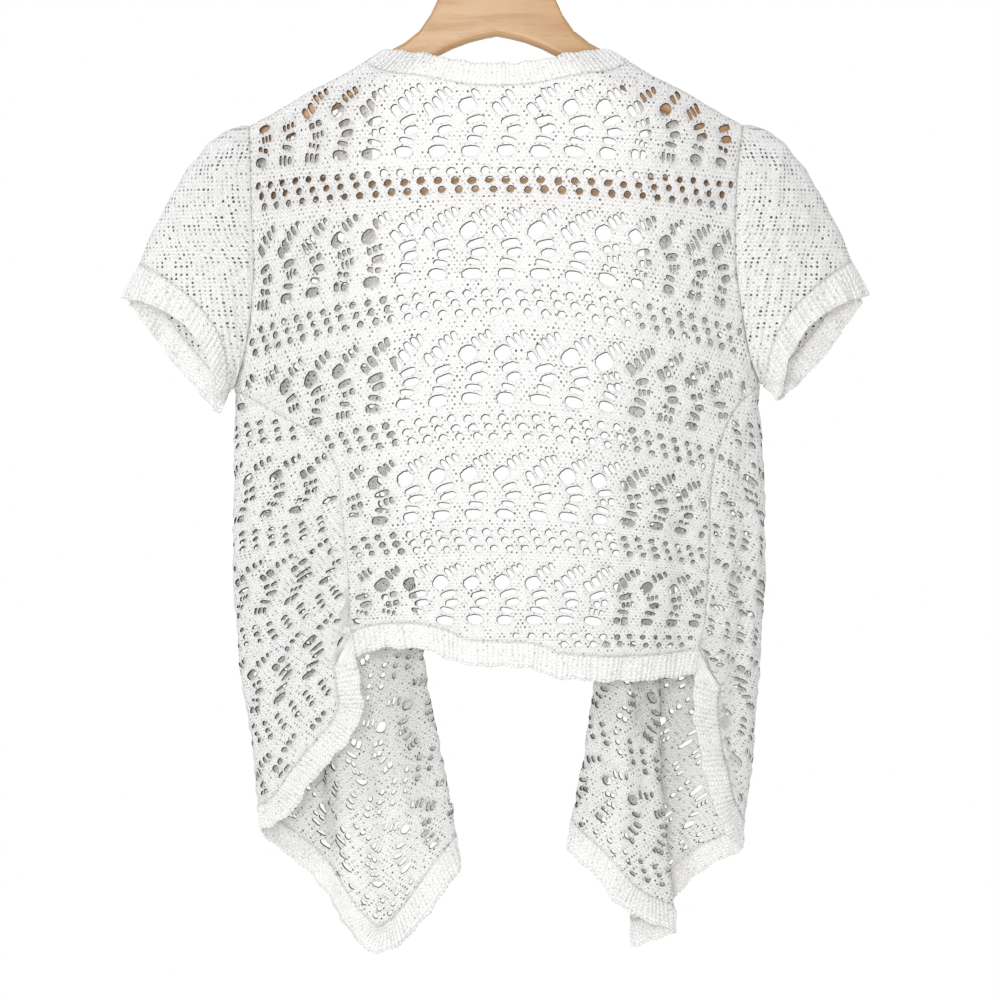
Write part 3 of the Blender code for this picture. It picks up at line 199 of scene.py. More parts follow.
SIDE_SEAM = {
    -1: [
        (213, 404), (178, 424), (142, 446), (129, 466), (124.8, 500), (120, 540), (116, 600),
        (112.8, 619),
    ],
    1: [
        (213, 400), (193, 420), (178, 453), (172, 494), (171, 540), (167, 590), (162.5, 614),
        (159, 634),
    ],
}
ARMHOLE_BACK = {
    -1: [
        (199, 192), (198, 222), (197.5, 254), (195.5, 302), (198, 340), (201, 361), (206, 384),
        (213, 404),
    ],
    1: [
        (198, 191.5), (194, 222), (192, 254), (192, 302), (197, 340), (202, 368), (206, 384),
        (213, 400),
    ],
}
ARMHOLE_FRONT = {
    -1: [
        (199, 192), (194, 222), (190, 254), (187, 302), (191, 345), (199, 376), (206, 392),
        (213, 404),
    ],
    1: [
        (198, 191.5), (193, 222), (189, 254), (187, 302), (191, 342), (199, 372), (206, 388),
        (213, 400),
    ],
}
HEM_START = 14.0  # drop from the foot of the side seam to where a front's hem runs smoothly
NECK = [
    (-90, 133.6), (-68, 135.6), (-48, 139), (-22, 144), (0, 145), (26, 143.6), (48, 139),
    (68, 135), (90, 133.6),
]
NECK_TURN = 0.87  # how far out the neckband ends on the shoulder, for its width
NECK_CORNER = (96, 148.6)  # out, drop: where its sewn edge turns up to the shoulder
BACK_HEM = [
    (-112.8, 619), (-101, 614.5), (-78, 612), (-50, 615), (-33, 623), (2, 626.5), (27, 628),
    (43, 634.5), (60, 637), (128, 637.5), (159, 634),
]
# stretch, out, drop
FRONT_HEM = {
    -1: [
        (NEAR, 112.8, 619), (NEAR, 109, 640), (NEAR, 107.5, 664), (NEAR, 117, 684),
        (NEAR, 131, 700), (NEAR, 150, 722), (NEAR, 168, 748), ((SIDE, FAR), 190, 768),
        (DEEP, 167, 789), (UNDER, 138, 818), (UNDER, 115, 852), (OVER, 98, 863),
        (OVER, 74, 852), (OVER, 53, 828), (FREE, 32, 792), (FREE, 52, 775), (FREE, 70, 768),
    ],
    1: [
        (NEAR, 159, 634), (NEAR, 158, 662), (NEAR, 165, 702), (NEAR, 174.5, 738),
        (NEAR, 186, 762), ((SIDE, FAR), 196, 782), (DEEP, 176, 794), (DEEP, 152, 816),
        (DEEP, 128, 845), (DEEP, 111, 860), (UNDER, 126, 856), (UNDER, 143, 848),
        (OVER, 125, 838), (OVER, 102, 826), (OVER, 78, 798), (FREE, 61, 776),
        (FREE, 74, 767), (FREE, 88, 762),
    ],
}

# The cuff's mouth: ends (out, drop), how far the back and front edges stand in, forward, half depth
Mouth = namedtuple("Mouth", "top foot back_in front_in forward half_depth")
MOUTH = {
    -1: Mouth((300.8, 331.0), (227.2, 423.0), 25.0, -3.0, 36.0, 26.0),
    1: Mouth((298.4, 329.0), (229.6, 413.0), 20.0, -6.0, 36.0, 26.0),
}
# Creases of a sleeve: turn and share of its length at both ends, half width, height
SLEEVE_CREASES = [
    ((2.95, 0.02), (2.0, 0.35), 0.16, 2.4),
    ((3.0, 0.05), (2.35, 0.6), 0.14, -2.2),
    ((2.9, 0.02), (2.45, 0.95), 0.12, 2.2),
    ((2.6, 0.0), (1.5, 0.12), 0.14, 1.8),
    ((0.5, 0.15), (0.95, 0.95), 0.2, 1.6),
    ((1.25, 0.3), (1.45, 1.0), 0.18, -1.5),
    ((3.4, 0.02), (4.2, 0.4), 0.16, 2.2),
    ((3.3, 0.05), (3.9, 0.8), 0.14, -2.0),
    ((5.6, 0.1), (5.2, 0.9), 0.2, 1.6),
]

# ---- the lace chart ----
# One repeat, from the middle of its big hole: across to the right, down, long and short width,
# tilt in degrees, clockwise. The eyelets lie in three rows below it.

REPEAT_WIDE, REPEAT_HIGH = 8 * STITCH_WIDE, 99.2
MOTIF = [
    (0.2, -0.2, 15.6, 13.4, -36),
    (7.2, -9.4, 11.0, 5.0, 56),
    (12.2, -12.2, 10.2, 4.8, 52),
    (16.8, -15.0, 8.2, 4.6, 60),
    (6.6, 10.6, 15.4, 6.8, -16),
    (9.4, 18.6, 13.6, 7.2, -12),
    (5.4, 26.6, 13.6, 5.4, 12),
    (3.0, 35.6, 16.4, 9.4, 4),
]
EYELET_ROWS = (51.6, 59.2, 66.8)
EYELET_PITCH, EYELET_SHIFT = REPEAT_WIDE / 2, 3.4
EYELET = (7.6, 6.8)
TOP_EYELETS = 1.14  # how much larger the eyelets over the hanger's bar are
# Row of the chart, drop of it at the middle of the back, and how far it hangs lower 200 out
BACK_ROWS = [
    (-60, 121, 4), (0, 179.2, 5), (59.2, 238.4, 12), (99.2, 277.6, 20), (158.4, 336, 30),
    (198.4, 376.8, 34), (297.6, 472.8, 30), (396.8, 559.2, 12), (456, 608, 4), (900, 975, 0),
]
# Share of its full width that the cloth spreads to, at each drop
BACK_SPREAD = [(100, 1.0), (400, 1.0), (500, 0.93), (600, 0.86), (900, 0.86)]
FRONT_SPREAD = [(100, 1.0), (400, 0.97), (600, 0.92), (900, 0.9)]
FRONT_HANG = {-1: 3.0, 1: -4.0}  # how much lower its rows hang on a front than on the back
FRONT_SLANT = 0.62  # share of the hem's slant that the rows of a front take on low down
GATHER = 0.11  # how much narrower the cloth is drawn towards the sides of the back
EDGE_ROOM = 2.0  # from a hole to the edge of its piece
PITCH = 5.2  # between the places that a panel's triangles are drawn from
OFF_EDGE, OFF_HOLE = 0.3, 1.3  # from such a place to the edge of its piece, and to a hole
TURN_ROWS = (0.4, 1.2, 2.6, 4.4, 6.6, 9.4)  # more such places, below the shoulder line
WIDE, YARN = 12.0, 1.4  # short width of the holes that a yarn may cross, and its thickness
LONG, FINE_YARN = 12.0, 1.15  # as above, long width, where the lace is drawn together
DRAWN = 92.0  # from the middle of the back to the lace that is drawn together
BACK_OPEN, FRONT_OPEN = (1.0, 0.82), (0.74, 0.6)  # size of the holes, loose and drawn together
CROSSED = 0.4  # share of the wide holes that a yarn crosses
DIVIDED = (1, 1, 1, 2, 2, 3)  # openings that yarns leave of a long hole, one drawn for each

random.seed(4217)


# ---- lines and curves ----


def lerp(a, b, share):
    if isinstance(a, (tuple, list)):
        return tuple(lerp(p, q, share) for p, q in zip(a, b))
    return a + (b - a) * share


def weights(t):
    """What share a smooth curve has, t of the way between two places, of the first place, of the
    slope there, of the second place and of the slope there."""
    return 2 * t**3 - 3 * t**2 + 1, t**3 - 2 * t**2 + t, 3 * t**2 - 2 * t**3, t**3 - t**2


def hermite(knots, values, at):
    """A smooth curve through values, one for each of the rising knots, read where at says."""
    knots, values = np.asarray(knots, float), np.asarray(values, float)
    at = np.clip(at, knots[0], knots[-1])
    widths = np.diff(knots)
    rises = np.diff(values) / widths
    share = widths[:-1] / (widths[:-1] + widths[1:])
    slopes = np.concatenate([rises[:1], lerp(rises[:-1], rises[1:], share), rises[-1:]])
    i = np.clip(np.searchsorted(knots, at, side="right") - 1, 0, len(widths) - 1)
    a, leave, b, arrive = weights((at - knots[i]) / widths[i])
    return (
        a * values[i]
        + leave * slopes[i] * widths[i]
        + b * values[i + 1]
        + arrive * slopes[i + 1] * widths[i]
    )


def read_line(points, at):
    """The second number of a line of points, read smoothly where the first one is at."""
    return hermite([p[0] for p in points], [p[1] for p in points], at)


def out_at(line, drop):
    """How far out a line of (out, drop) is at a drop."""
    return float(read_line([(p[1], p[0]) for p in line], drop))


def straight_line(points, at):
    """As read_line, but with straight runs between the points."""
    return np.interp(at, [p[0] for p in points], [p[1] for p in points])


def path_length(points):
    return np.concatenate([[0.0], np.cumsum(np.linalg.norm(np.diff(points, axis=0), axis=1))])


def along_line(line, share):
    """Points at arrays of shares of the way through the points of a line."""
    line = np.asarray(line, float)
    knots = np.linspace(0, 1, len(line))
    return np.stack([np.interp(share, knots, column) for column in line.T], 1)


def between(lines, along, across):
    """Points at arrays of shares along two lines and across from the first to the second."""
    return lerp(along_line(lines[0], along), along_line(lines[1], along), across[:, None])


def curve_through(points, count):
    """count points evenly spaced along a smooth curve through the points."""
    points = np.asarray(points, float)
    knots = path_length(points)
    at = np.linspace(0, knots[-1], count)
    return [tuple(p) for p in np.stack([hermite(knots, line, at) for line in points.T], 1)]


def spaced(points, pitch):
    """A line of points with one about every pitch along its straight runs."""
    points = np.asarray(points, float)
    knots = path_length(points)
    at = np.linspace(0, knots[-1], max(2, round(knots[-1] / pitch) + 1))
    return [tuple(p) for p in np.stack([np.interp(at, knots, line) for line in points.T], 1)]


def from_run(points, a, b):
    """How far each point is from the run between two places, and its share of the way along."""
    run = b - a
    share = np.clip(((points - a) @ run) / max(run @ run, 1e-9), 0, 1)
    return np.linalg.norm(points - a - share[:, None] * run, axis=1), share


def offset_line(line, by):
    """A line of points moved across itself, to the right of the way it runs on a page whose
    second number counts downwards."""
    ways = []
    for a, b in zip(line, line[1:]):
        size = max(math.dist(a, b), 1e-9)
        ways.append(((a[1] - b[1]) / size, (b[0] - a[0]) / size))
    moved = []
    for i, point in enumerate(line):
        a, b = ways[max(i - 1, 0)], ways[min(i, len(ways) - 1)]
        share = by / max(1 + a[0] * b[0] + a[1] * b[1], 0.3)
        moved.append(tuple(point[k] + (a[k] + b[k]) * share for k in (0, 1)))
    return moved


def smoothed(line, reach):
    """A line with each point moved to the mean of those up to reach places before and after."""
    found = []
    for i in range(len(line)):
        span = min(reach, i, len(line) - 1 - i)
        near = line[i - span : i + span + 1]
        found.append(tuple(sum(p[k] for p in near) / len(near) for k in (0, 1)))
    return found


def smooth_step(low, high, at):
    t = np.clip((at - low) / (high - low), 0, 1)
    return t * t * (3 - 2 * t)


def shoulder_drop(out):
    return read_line(SHOULDER, np.abs(out))


# ---- the wrap ----


class Half:
    """One half of the wrap, as a table of level sections: a row for every ROW_STEP of drop and
    FINE columns between two fold lines."""

    def __init__(self, side, sections):
        self.side = side
        self.drops = np.arange(TABLE_TOP, TABLE_FOOT + 1, ROW_STEP)
        drops, *columns = zip(*sections)
        back_y, bow, *places = (hermite(drops, column, self.drops) for column in columns)
        outs = [share * places[0] for share in BACK_SHARES]
        folds = [np.stack([out, back_y + bow * (out / 200) ** 2], 1) for out in outs]
        folds += [np.stack(place, 1) for place in zip(places[::2], places[1::2])]
        folds = np.stack(folds, 1)
        gaps = np.linalg.norm(np.diff(folds, axis=1), axis=2) ** 0.5
        slopes = np.zeros_like(folds)
        slopes[:, 0, 0] = (folds[:, 1, 0] - folds[:, 0, 0]) / gaps[:, 0]
        slopes[:, EDGE] = (folds[:, EDGE] - folds[:, EDGE - 1]) / gaps[:, -1:]
        for i in range(1, EDGE):
            p, q, r = folds[:, i - 1], folds[:, i], folds[:, i + 1]
            before, after = gaps[:, i - 1 : i], gaps[:, i : i + 1]
            slopes[:, i] = (q - p) / before - (r - p) / (before + after) + (r - q) / after
            if i in (TUCK, INNER):
                slopes[:, i] *= ROUNDER
        self.numbers = np.arange(EDGE * FINE + 1) / FINE
        i = np.minimum(self.numbers.astype(int), EDGE - 1)
        width = gaps[:, i, None]
        a, leave, b, arrive = weights((self.numbers - i)[None, :, None])
        line = (
            a * folds[:, i]
            + leave * width * slopes[:, i]
            + b * folds[:, i + 1]
            + arrive * width * slopes[:, i + 1]
        )
        self.out, self.forward = line[:, :, 0], line[:, :, 1]
        steps = np.linalg.norm(np.diff(line, axis=1), axis=2)
        self.length = np.concatenate([np.zeros((len(steps), 1)), np.cumsum(steps, 1)], 1)

    def level(self, drop):
        """out and length of cloth at each column of one level section."""
        at = (drop - self.drops[0]) / ROW_STEP
        i = min(max(int(at), 0), len(self.drops) - 2)
        return [lerp(table[i], table[i + 1], at - i) for table in (self.out, self.length)]

    def length_at(self, stretch, out, drop):
        """Length of cloth to the place between two fold lines that is this far out."""
        first, last = stretch[0] * FINE, stretch[1] * FINE + 1
        outs, lengths = (table[first:last] for table in self.level(drop))
        low, high = outs[:-1], outs[1:]
        share = np.clip((out - low) / np.where(high == low, 1, high - low), 0, 1)
        i = int(np.argmin(np.abs(lerp(low, high, share) - out)))
        return float(lerp(lengths[i], lengths[i + 1], share[i]))

    def fold(self, number, drop):
        """Length of cloth to a fold line."""
        return float(self.level(drop)[1][number * FINE])

    def folds(self, number, drops):
        """As fold, at an array of drops."""
        return np.interp(drops, self.drops, self.length[:, number * FINE])

    def total(self, drop):
        return self.fold(EDGE, drop)

    def totals(self, drops):
        return self.folds(EDGE, drops)

    def read(self, s, drop):
        """out, forward and fold number at arrays of places."""
        at = np.clip((drop - self.drops[0]) / ROW_STEP, 0, len(self.drops) - 1.001)
        rows = at.astype(int)
        found = np.empty((3, len(s)))
        order = np.argsort(rows, kind="stable")
        cuts = np.flatnonzero(np.diff(rows[order])) + 1
        for here in np.split(order, cuts):
            row, share = rows[here[0]], at[here] - rows[here[0]]
            for k, table in enumerate((self.out, self.forward, None)):
                ends = [
                    np.interp(s[here], self.length[r], self.numbers if table is None else table[r])
                    for r in (row, row + 1)
                ]
                found[k, here] = lerp(ends[0], ends[1], share)
        return found

    def points(self, s, drop):
        """x, y, z at arrays of places, with the turn over the arm's top edge."""
        out, forward, number = self.read(s, drop)
        way = np.where(number > SIDE, 1.0, -1.0)
        for side, top_out, foot_out, top, foot, width, height in FOLDS:
            if side != self.side:
                continue
            share = np.clip((drop - top) / (foot - top), 0, 1)
            gap = np.minimum(np.abs(out - lerp(top_out, foot_out, share)) / width, 1)
            grown = np.minimum(1, np.minimum(share / 0.4, (1 - share) / 0.2))
            lift = height * np.sin(np.pi / 2 * grown) ** 2 * np.cos(np.pi / 2 * gap) ** 2
            forward = forward + way * lift
        below = np.maximum(drop - shoulder_drop(out), 0)
        middle = ARM_SWEEP * (out / ARM_REACH) ** 2
        share = np.sqrt(np.clip(1 - (1 - np.minimum(below / TURN, 1)) ** 2, 0, 1))
        turned = middle + way * np.maximum(np.abs(forward - middle) * share, SHOULDER_GAP)
        forward = np.where(below < TURN, turned, forward)
        return np.stack([self.side * out, forward, -drop], 1)

    def faces(self, s, drop):
        """The way the cloth faces, out of the garment, at arrays of places."""
        low, high = np.maximum(s - 1.6, 0), np.minimum(s + 1.6, self.totals(drop))
        across = self.points(high, drop) - self.points(low, drop)
        down = self.points(s, drop + 0.6) - self.points(s, drop)
        return unit(np.cross(down, across) * self.side)


def unit(vectors):
    return vectors / np.maximum(np.linalg.norm(vectors, axis=-1, keepdims=True), 1e-9)


HALF = {-1: Half(-1, LEFT), 1: Half(1, RIGHT)}
WORD = {-1: "left", 1: "right"}


def crease_height(gap, width, height, along):
    """How high a crease stands this far off its line, a share of the way along it."""
    profile = np.cos(np.pi / 2 * np.minimum(gap / width, 1)) ** 2
    return height * profile * np.sin(np.pi * along) ** 0.6


def crease_lift(side, s, drop):
    """How far the listed creases lift the cloth of one half along the way it faces."""
    half, lift = HALF[side], np.zeros(len(s))
    for crease_side, stretch, width, height, points in CREASES:
        if crease_side != side:
            continue
        line = curve_through(points, 12)
        line = np.array([(half.length_at(stretch, out, low), low) for out, low in line])
        near = (drop > line[:, 1].min() - width) & (drop < line[:, 1].max() + width)
        near &= (s > line[:, 0].min() - width) & (s < line[:, 0].max() + width)
        if not near.any():
            continue
        here = np.stack([s[near], drop[near]], 1)
        gap, along = np.full(len(here), 1e9), np.zeros(len(here))
        for k, (a, b) in enumerate(zip(line, line[1:])):
            found, share = from_run(here, a, b)
            closer = found < gap
            gap, along = np.where(closer, found, gap), np.where(closer, k + share, along)
        lift[near] += crease_height(gap, width, height, np.clip(along / (len(line) - 1), 0, 1))
    return lift


def soft_lift(s, drop):
    """The small unevenness of hung knit, from waves that don't repeat together."""
    return sum(high * np.sin(s * 6.28 / a + drop * 6.28 / b + c) for a, b, c, high in WAVES)


def on_cloth(s, drop):
    """Where places of cloth are and the way they face. s is less than 0 left of the middle."""
    s, drop = np.asarray(s, float), np.asarray(drop, float)
    points, faces = np.empty((len(s), 3)), np.empty((len(s), 3))
    for side in (-1, 1):
        here = s < 0 if side < 0 else s >= 0
        if not here.any():
            continue
        at, low = np.abs(s[here]), drop[here]
        points[here], faces[here] = HALF[side].points(at, low), HALF[side].faces(at, low)
        lift = crease_lift(side, at, low) + soft_lift(at, low)
        free = smooth_step(*LET_GO, low)
        lift = np.maximum(lift, 0) * (1 - free) * ON_BOARD + lift * free
        points[here] += faces[here] * lift[:, None]
    return points, faces


# ---- making meshes ----


def stand(name, data):
    """A new object of the scene, with this mesh, lamp or camera."""
    thing = bpy.data.objects.new(name, data)
    bpy.context.scene.collection.objects.link(thing)
    return thing


def make_piece(name, verts, faces, uvs, material, node, walls=None):
    """A piece from its places in mm and the cloth's own place of each face's corners, in mm.
    walls is 1 for each face that is the side of a hole."""
    mesh = bpy.data.meshes.new(f"{name}_knit")
    mesh.from_pydata((np.asarray(verts) * MM).tolist(), [], faces)
    layer = mesh.uv_layers.new(name="cloth")
    layer.data.foreach_set("uv", (np.asarray(uvs, np.float32) * 0.01).ravel())
    # hole_wall marks the sides of the holes, which the knit materials colour with painted shade
    shade = mesh.attributes.new("hole_wall", "FLOAT", "FACE")
    shade.data.foreach_set("value", np.zeros(len(faces), np.float32) if walls is None else walls)
    mesh.shade_smooth()
    mesh.materials.append(material)
    thing = stand(f"{name}_knit", mesh)
    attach(thing, "root")
    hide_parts(node)
    return thing


def rim_of(faces):
    """The edges that only one of the faces has."""
    used = dict.fromkeys(pair for face in faces for pair in zip(face, face[1:] + face[:1]))
    return [(a, b) for a, b in used if (b, a) not in used]


def cut_shell(name, flat, rear, triangles, uvs, edge, material, node):
    """A thin closed shell on the cloth, from triangles in the flat of (s, drop). rear is where
    its inner side's places lie in that flat."""
    points, faces = on_cloth(flat[:, 0], flat[:, 1])
    behind, _ = on_cloth(rear[:, 0], rear[:, 1])
    first = triangles[:, 0]
    turned = np.cross(
        points[triangles[:, 1]] - points[first], points[triangles[:, 2]] - points[first]
    )
    if (turned * faces[first]).sum() < 0:
        triangles = triangles[:, ::-1]
    half = PLY / 2 * np.where(edge > 0, THIN, 1.0)[:, None]
    count = len(flat)
    verts = np.concatenate([points + faces * half, behind - faces * half])
    walls = [(b, a, a + count, b + count) for a, b in rim_of(triangles.tolist())]
    all_faces = triangles.tolist() + (triangles[:, ::-1] + count).tolist() + walls
    corners = np.concatenate([np.array(f) % count for f in all_faces])
    shade = np.zeros(len(all_faces), np.float32)
    shade[len(triangles) * 2 :] = [min(edge[wall[0]], edge[wall[1]]) for wall in walls]
    return make_piece(name, verts, all_faces, uvs[corners], material, node, shade)


def grid_shell(name, points, faces, uvs, lift, thick, material, node, slot, round_=False):
    """A thin closed shell over a grid of places, lifted along the way they face. uvs has one
    column more than the grid where it is round."""
    rows, cols = points.shape[:2]
    middle = points + faces * lift[..., None]
    outer, inner = (middle + faces * thick * way / 2 for way in (1, -1))
    verts = np.concatenate([outer.reshape(-1, 3), inner.reshape(-1, 3)])
    count = rows * cols
    steps = cols if round_ else cols - 1
    quads, spots = [], []
    for i in range(rows - 1):
        for j in range(steps):
            k = (j + 1) % cols
            quads.append((i * cols + j, i * cols + k, (i + 1) * cols + k, (i + 1) * cols + j))
            spots.append(((i, j), (i, j + 1), (i + 1, j + 1), (i + 1, j)))
    a, b, c = (np.array(quads[: cols * 2])[:, k] for k in (0, 1, 2))
    flat, way = points.reshape(-1, 3), faces.reshape(-1, 3)
    turn = (np.cross(flat[b] - flat[a], flat[c] - flat[a]) * way[a]).sum() < 0
    if turn:
        quads, spots = [q[::-1] for q in quads], [q[::-1] for q in spots]
    all_faces = quads + [tuple(n + count for n in q[::-1]) for q in quads]
    all_spots = spots + [q[::-1] for q in spots]
    used = {}
    for quad, spot in zip(quads, spots):
        for k in range(4):
            used[quad[k], quad[(k + 1) % 4]] = (spot[k], spot[(k + 1) % 4])
    for (a, b), (p, q) in used.items():
        if (b, a) not in used:
            all_faces.append((b, a, a + count, b + count))
            all_spots.append((q, p, p, q))
    index = np.array(all_spots).reshape(-1, 2)
    return make_piece(name, verts, all_faces, uvs[index[:, 0], index[:, 1]], material, node)


# ---- the cuts ----


def back_s(x, drop):
    side = -1 if x < 0 else 1
    return side * HALF[side].length_at(NEAR, abs(x), drop)


def on_back(line):
    """A line of (x, drop) as (s, drop) on the back."""
    return [(back_s(x, drop), drop) for x, drop in line]


def seam_line(side, last_drop, by=0.0):
    """The side seam in (s, drop), from the underarm down to a drop, moved by this much of cloth
    towards the front."""
    half = HALF[side]
    points = curve_through(SIDE_SEAM[side], 60)
    kept = [p for p in points if p[1] < last_drop]
    kept.append((float(straight_line([(drop, out) for out, drop in points], last_drop)), last_drop))
    flat = [(half.length_at(NEAR, out, drop), drop) for out, drop in curve_through(kept, 70)]
    flat[0] = (half.fold(SIDE, flat[0][1]), flat[0][1])
    return offset_line(flat, by * (-1 if flat[-1][0] < flat[0][0] else 1))


def hem_curves(side):
    """Three lines across a front from the side seam to the free edge, as (distance from the free
    edge, drop): the hem, the band's sewn edge and the panel's edge."""
    half = HALF[side]
    outer = []
    for stretch, out, drop in FRONT_HEM[side]:
        outer.append((half.total(drop) - half.length_at(stretch, out, drop), drop))
    outer[-1] = (0.0, outer[-1][1])
    outer = curve_through(outer, 120)
    lines = [outer]
    for width in (HEM_BAND, HEM_BAND + SEAM):
        moved = smoothed(offset_line(smoothed(outer, 3), width), 3)
        foot = outer[0][1] - width
        seam = seam_line(side, foot)[-1]
        moved[0] = (half.total(foot) - seam[0], foot)
        # the first run goes straight from the seam to where the hem's smooth curve starts
        late = next(i for i, p in enumerate(moved) if p[1] > foot + HEM_START)
        for i in range(1, late):
            moved[i] = lerp(moved[0], moved[late], i / late)
        lines.append(moved)
    return lines


def cut_index(line, edge):
    """Where along a hem line, in places, it comes this near to the free edge."""
    i = next(k for k, p in enumerate(line) if p[0] <= edge)
    return i - 1 + (line[i - 1][0] - edge) / (line[i - 1][0] - line[i][0])


def at_index(line, at):
    """The point of a line at a place that may lie between two of its points."""
    i = min(int(at), len(line) - 2)
    return lerp(line[i], line[i + 1], at - i)


def meet_shoulder(side, edge):
    """The drop where a line this far from the free edge meets the shoulder line."""
    half, drop = HALF[side], 160.0
    for _ in range(14):
        outs, lengths = half.level(drop)
        drop = float(shoulder_drop(np.interp(lengths[-1] - edge, lengths, outs)))
    return drop


def shoulder_line(side, stretch, outs, below=0.0):
    """The line at outs, this far below the shoulder's, in (s, drop)."""
    drops = [float(shoulder_drop(out)) + below for out in outs]
    return [(HALF[side].length_at(stretch, out, drop), drop) for out, drop in zip(outs, drops)]


def set_on(side, line):
    """A line in (s, drop) of one half, on the whole cloth."""
    return [(side * s, drop) for s, drop in line]


def armhole_line(side, in_front):
    """The armhole's edge in (s, drop), from the shoulder to the underarm."""
    half = HALF[side]
    line = (ARMHOLE_FRONT if in_front else ARMHOLE_BACK)[side]
    stretch = DEEP if in_front else NEAR
    top, foot = line[0][1], line[-1][1]
    found = []
    for share in np.linspace(0, 1, 90) ** 1.6:
        drop = lerp(top, foot, share)
        found.append((half.length_at(stretch, out_at(line, drop), drop), drop))
    found[-1] = (half.fold(SIDE, foot), foot)
    return found


# ---- lace ----


class Chart:
    """Where the lace's chart lies on a piece: (across, down) in mm of relaxed cloth to (s, drop)
    and back."""

    def __init__(self, place, way):
        self.place, self.way = place, way

    def to_cloth(self, across, down):
        return self.place(np.asarray(across, float), np.asarray(down, float))

    def to_chart(self, s, drop):
        across = np.zeros(len(s))
        down = np.interp(drop, [row[1] for row in BACK_ROWS], [row[0] for row in BACK_ROWS])
        for _ in range(24):
            found = self.place(across, down)
            across = across + self.way * (s - found[0]) * 0.8
            down = down + (drop - found[1]) * 0.8
        return across, down


def back_chart():
    def place(across, down):
        drop = read_line([(r[0], r[1]) for r in BACK_ROWS], down)
        hang = read_line([(r[0], r[2]) for r in BACK_ROWS], down)
        s = across * straight_line(BACK_SPREAD, drop)
        s = s * (1 - GATHER * np.clip(np.abs(s) / 220, 0, 1) ** 2)
        return s, drop + hang * (s / 200) ** 2

    return Chart(place, 1)


def front_chart(side):
    half = HALF[side]
    hem = hem_curves(side)[2]
    edges, drops = [p[0] for p in hem][::-1], [p[1] for p in hem][::-1]
    level = sum(drops) / len(drops)

    def place(across, down):
        drop = read_line([(r[0], r[1]) for r in BACK_ROWS], down) + FRONT_HANG[side]
        edge = NECKBAND + SEAM + across * straight_line(FRONT_SPREAD, drop)
        slant = FRONT_SLANT * smooth_step(300, 700, drop)
        drop = drop + slant * (np.interp(edge, edges, drops) - level)
        return side * (half.totals(drop) - edge), drop

    return Chart(place, -side)


def hole_loop(middle_x, middle_y, long, short, tilt, count=11, corner=0.82, stray=0.5):
    """The outline of one hole in the chart, uneven as hand-worked yarn makes it. corner is 1 for
    an ellipse, less for a fuller shape and more for a pointed one."""
    tilt = math.radians(tilt + random.uniform(-6, 6))
    middle_x += random.uniform(-stray, stray)
    middle_y += random.uniform(-stray, stray)
    long, short = (size * random.uniform(0.88, 1.08) for size in (long, short))
    loop = []
    for k in range(count):
        angle = math.tau * (k + random.uniform(-0.15, 0.15)) / count
        swell = random.uniform(0.93, 1.05)
        x = math.copysign(abs(math.cos(angle)) ** corner, math.cos(angle)) * long / 2 * swell
        y = math.copysign(abs(math.sin(angle)) ** corner, math.sin(angle)) * short / 2 * swell
        loop.append(
            (
                middle_x + x * math.cos(tilt) - y * math.sin(tilt),
                middle_y + x * math.sin(tilt) + y * math.cos(tilt),
            )
        )
    return loop


def chart_holes(first, last, shift, drawn):
    """The holes of the chart from one column to another, each as the loops that yarns divide it
    into. shift is how far the chart lies off the middle. Further than drawn from the middle
    yarns divide the long holes, and within it only the widest."""
    holes = []
    for row in range(-1, 8):
        for column in range(first, last + 1):
            x, y = column * REPEAT_WIDE + shift, row * REPEAT_HIGH
            for across, down, long, short, tilt in MOTIF:
                x_here, y_here = x + across, y + down
                parts, yarn = 1, YARN
                if abs(x_here) > drawn:
                    parts, yarn = random.choice(DIVIDED) if long > LONG else 1, FINE_YARN
                elif short > WIDE and random.random() < CROSSED:
                    parts = 2
                if parts == 1:
                    holes.append([hole_loop(x_here, y_here, long, short, tilt)])
                    continue
                holes.append([])
                step, turn = (long + yarn) / parts, math.radians(tilt)
                for part in range(parts):
                    off = (part - (parts - 1) / 2) * step
                    at = x_here + off * math.cos(turn), y_here + off * math.sin(turn)
                    size = step - yarn, short * random.uniform(0.85, 1.0)
                    loop = hole_loop(*at, *size, tilt, count=10, corner=0.7, stray=0.1)
                    holes[-1].append(loop)
            for k, down in enumerate(EYELET_ROWS):
                bigger = TOP_EYELETS if row == -1 else 1.0
                for eyelet in (0, 1):
                    across = eyelet * EYELET_PITCH + k * EYELET_SHIFT
                    size = [w * bigger for w in EYELET]
                    loop = hole_loop(x + across, y + down, *size, -15, count=8, corner=1.1)
                    holes.append([loop])
    return holes


def inside(points, outline):
    """Which points lie inside a closed outline."""
    x, y = points[:, 0], points[:, 1]
    found = np.zeros(len(points), bool)
    for (ax, ay), (bx, by) in zip(outline, np.roll(outline, -1, axis=0)):
        crosses = (ay > y) != (by > y)
        rise = by - ay if by != ay else 1e-9
        found ^= crosses & (x < (bx - ax) * (y - ay) / rise + ax)
    return found


def outline_gap(points, outline):
    """How far each point is from a closed outline."""
    gap = np.full(len(points), 1e9)
    for a, b in zip(outline, np.roll(outline, -1, axis=0)):
        gap = np.minimum(gap, from_run(points, a, b)[0])
    return gap


def anticlockwise(loop):
    """A closed loop, turned round where it runs clockwise."""
    x, y = loop[:, 0], loop[:, 1]
    return loop if (x * np.roll(y, -1) - np.roll(x, -1) * y).sum() > 0 else loop[::-1]


def tidy_outline(points):
    """A closed outline, anticlockwise and without doubled places."""
    kept = []
    for point in points:
        if not kept or math.dist(kept[-1], point) > 0.35:
            kept.append(tuple(float(c) for c in point))
    while math.dist(kept[0], kept[-1]) < 0.35:
        kept.pop()
    return anticlockwise(np.array(kept))


